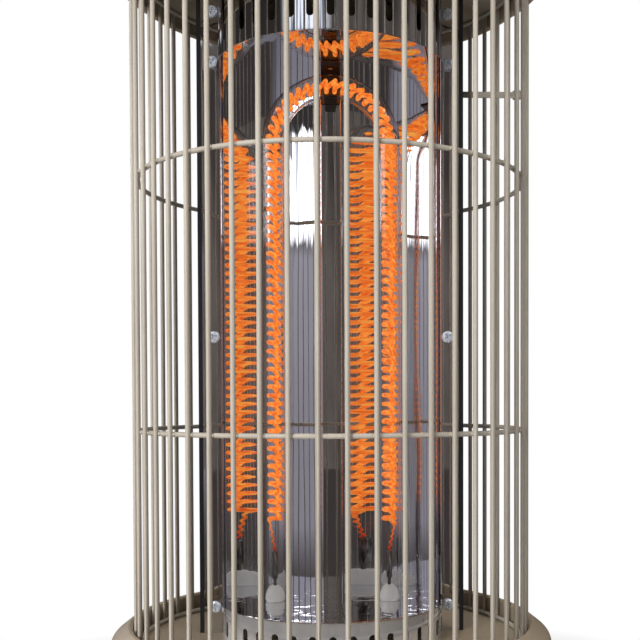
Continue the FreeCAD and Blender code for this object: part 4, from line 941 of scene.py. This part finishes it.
def room(finish):
    """What mirrors and glass see: a dim room with a curtained window and an upper pane to the left."""
    across, depth, level = (finish.along(axis) for axis in "XYZ")
    grain = finish.noise(2.2, 3.0)
    cool = finish.ramp(level * 0.5, [
        (0.0, (0.25, 0.24, 0.28)), (0.40, (0.33, 0.32, 0.37)),
        (0.445, (0.05, 0.045, 0.045)), (0.9, (0.022, 0.018, 0.017))])
    brown = finish.ramp(grain, [(0.35, (0.045, 0.038, 0.035)), (0.65, (0.12, 0.105, 0.095))])
    wall = finish.mix(finish.spread(across, -0.9, -0.35, 0.0, 1.0), cool, brown)

    ragged = level + grain * 0.10
    band = finish.spread(ragged, 0.90, 0.96, 0.0, 1.0) * finish.spread(ragged, 1.31, 1.33, 1.0, 0.0)
    reveal = band * finish.spread(across, -1.1, -0.9, 1.0, 0.0)
    wall = finish.mix(reveal, wall, colour(0.26, 0.24, 0.28))
    window = band * finish.spread(across, -1.95, -1.75, 1.0, 0.0)
    folds = finish.noise(2.4, 3.0, finish.stretched((3.0, 3.0, 0.5)))
    fold = finish.spread(folds, 0.47, 0.60, 0.0, 1.0)
    curtain = finish.mix(fold, colour(4.6, 4.6, 4.8), colour(0.50, 0.53, 0.62))
    shade = finish.mix(window, wall, curtain)

    pane = finish.spread(level, 1.57, 1.60, 0.0, 1.0) * finish.spread(level, 1.80, 1.86, 1.0, 0.0)
    pane = pane * finish.spread(across, -2.3, -1.9, 0.0, 1.0) * finish.spread(across, -0.5, 0.1, 1.0, 0.0)
    pane = pane * finish.spread(depth, -0.2, 0.2, 1.0, 0.0)
    streak = finish.spread(folds, 0.50, 0.62, 0.0, 1.0)
    streaked = finish.mix(streak, colour(1.1, 1.15, 1.25), colour(0.16, 0.18, 0.23))
    shade = finish.mix(pane, shade, streaked)
    return finish.node("ShaderNodeEmission", sockets={"Color": shade, "Strength": 1.0})


def studio():
    """A white floor and surround, the lamps, and a room round them that only mirrors and glass see."""
    deselect()
    bpy.ops.mesh.primitive_plane_add(size=FLOOR_SIZE, location=(0, 0, 0))
    stage_mesh(current(), "floor", white_floor)

    deselect()
    bpy.ops.mesh.primitive_cylinder_add(
        vertices=96, radius=ROOM_RADIUS, depth=ROOM_HEIGHT,
        end_fill_type="NOTHING", location=(0, 0, ROOM_MIDDLE))
    wall = current()
    settle(wall)
    stage_mesh(wall, "room", room)
    deselect()
    bpy.ops.mesh.primitive_circle_add(
        vertices=96, radius=ROOM_RADIUS, fill_type="NGON", location=(0, 0, GROUND_LIFT))
    ground = current()
    settle(ground)
    stage_mesh(ground, "room_floor", room_floor)
    for piece in (wall, ground):
        for sight in ("visible_camera", "visible_diffuse", "visible_shadow"):
            setattr(piece, sight, False)

    world = bpy.data.worlds.new("surround")
    bpy.context.scene.world = world
    finish = Finish(world)
    strength = finish.spread(shown_plain(finish), 0.0, 1.0, 0.42, 1.0)
    white = {"Color": colour(1, 1, 1), "Strength": strength}
    finish.end(finish.node("ShaderNodeBackground", sockets=white))

    for name, (place, size, power, mirrored) in LAMPS.items():
        lamp = bpy.data.lights.new(name, "AREA")
        lamp.energy = power
        lamp.size = size
        holder = bpy.data.objects.new(name, lamp)
        holder.visible_glossy = holder.visible_transmission = mirrored
        bpy.context.scene.collection.objects.link(holder)
        aim = (Vector(LAMP_AIM) - Vector(place)).to_track_quat("-Z", "Y").to_matrix().to_4x4()
        holder.matrix_world = Matrix.Translation(Vector(place)) @ aim


def camera():
    """The photograph's viewpoint: in front, a little left of the middle and low."""
    yaw, pitch, roll = (math.radians(angle) for angle in CAMERA_TURNS)
    turn = Matrix.Rotation(yaw, 3, "Z") @ Matrix.Rotation(pitch, 3, "X") @ Matrix.Rotation(roll, 3, "Y")
    right, forward, up = turn.col[0], turn.col[1], turn.col[2]
    view = bpy.data.cameras.new("photo_view")
    view.sensor_width = SENSOR
    view.lens = FOCAL_LENGTH / PICTURE * SENSOR
    view.shift_x = (PICTURE / 2 - PRINCIPAL_POINT[0]) / PICTURE
    view.shift_y = (PRINCIPAL_POINT[1] - PICTURE / 2) / PICTURE
    view.clip_start = 0.01
    holder = bpy.data.objects.new("photo_view", view)
    bpy.context.scene.collection.objects.link(holder)
    rotation = Matrix((right, up, -forward)).transposed()
    holder.matrix_world = Matrix.Translation(Vector(CAMERA_AT) * MM) @ rotation.to_4x4()
    bpy.context.scene.camera = holder


carried_over()
base_pan()
knob_dish()
reflector()
quartz_tube()
heating_coil()
vent_band(
    "lower_slots", "lower_vent_band", hazy_mirror, (TRAY, FLOOR - SHEET), LOWER_SLOT, FLANGE_SCREW_LEVELS[0])
vent_band(
    "upper_slots", "upper_vent_band", flat_mirror, (CEILING + SHEET, CAP), UPPER_SLOT, FLANGE_SCREW_LEVELS[3])
beads()
weld_beads()
screws()
knob_pointer()
studio()
camera()
bpy.context.scene.view_settings.view_transform = "Standard"
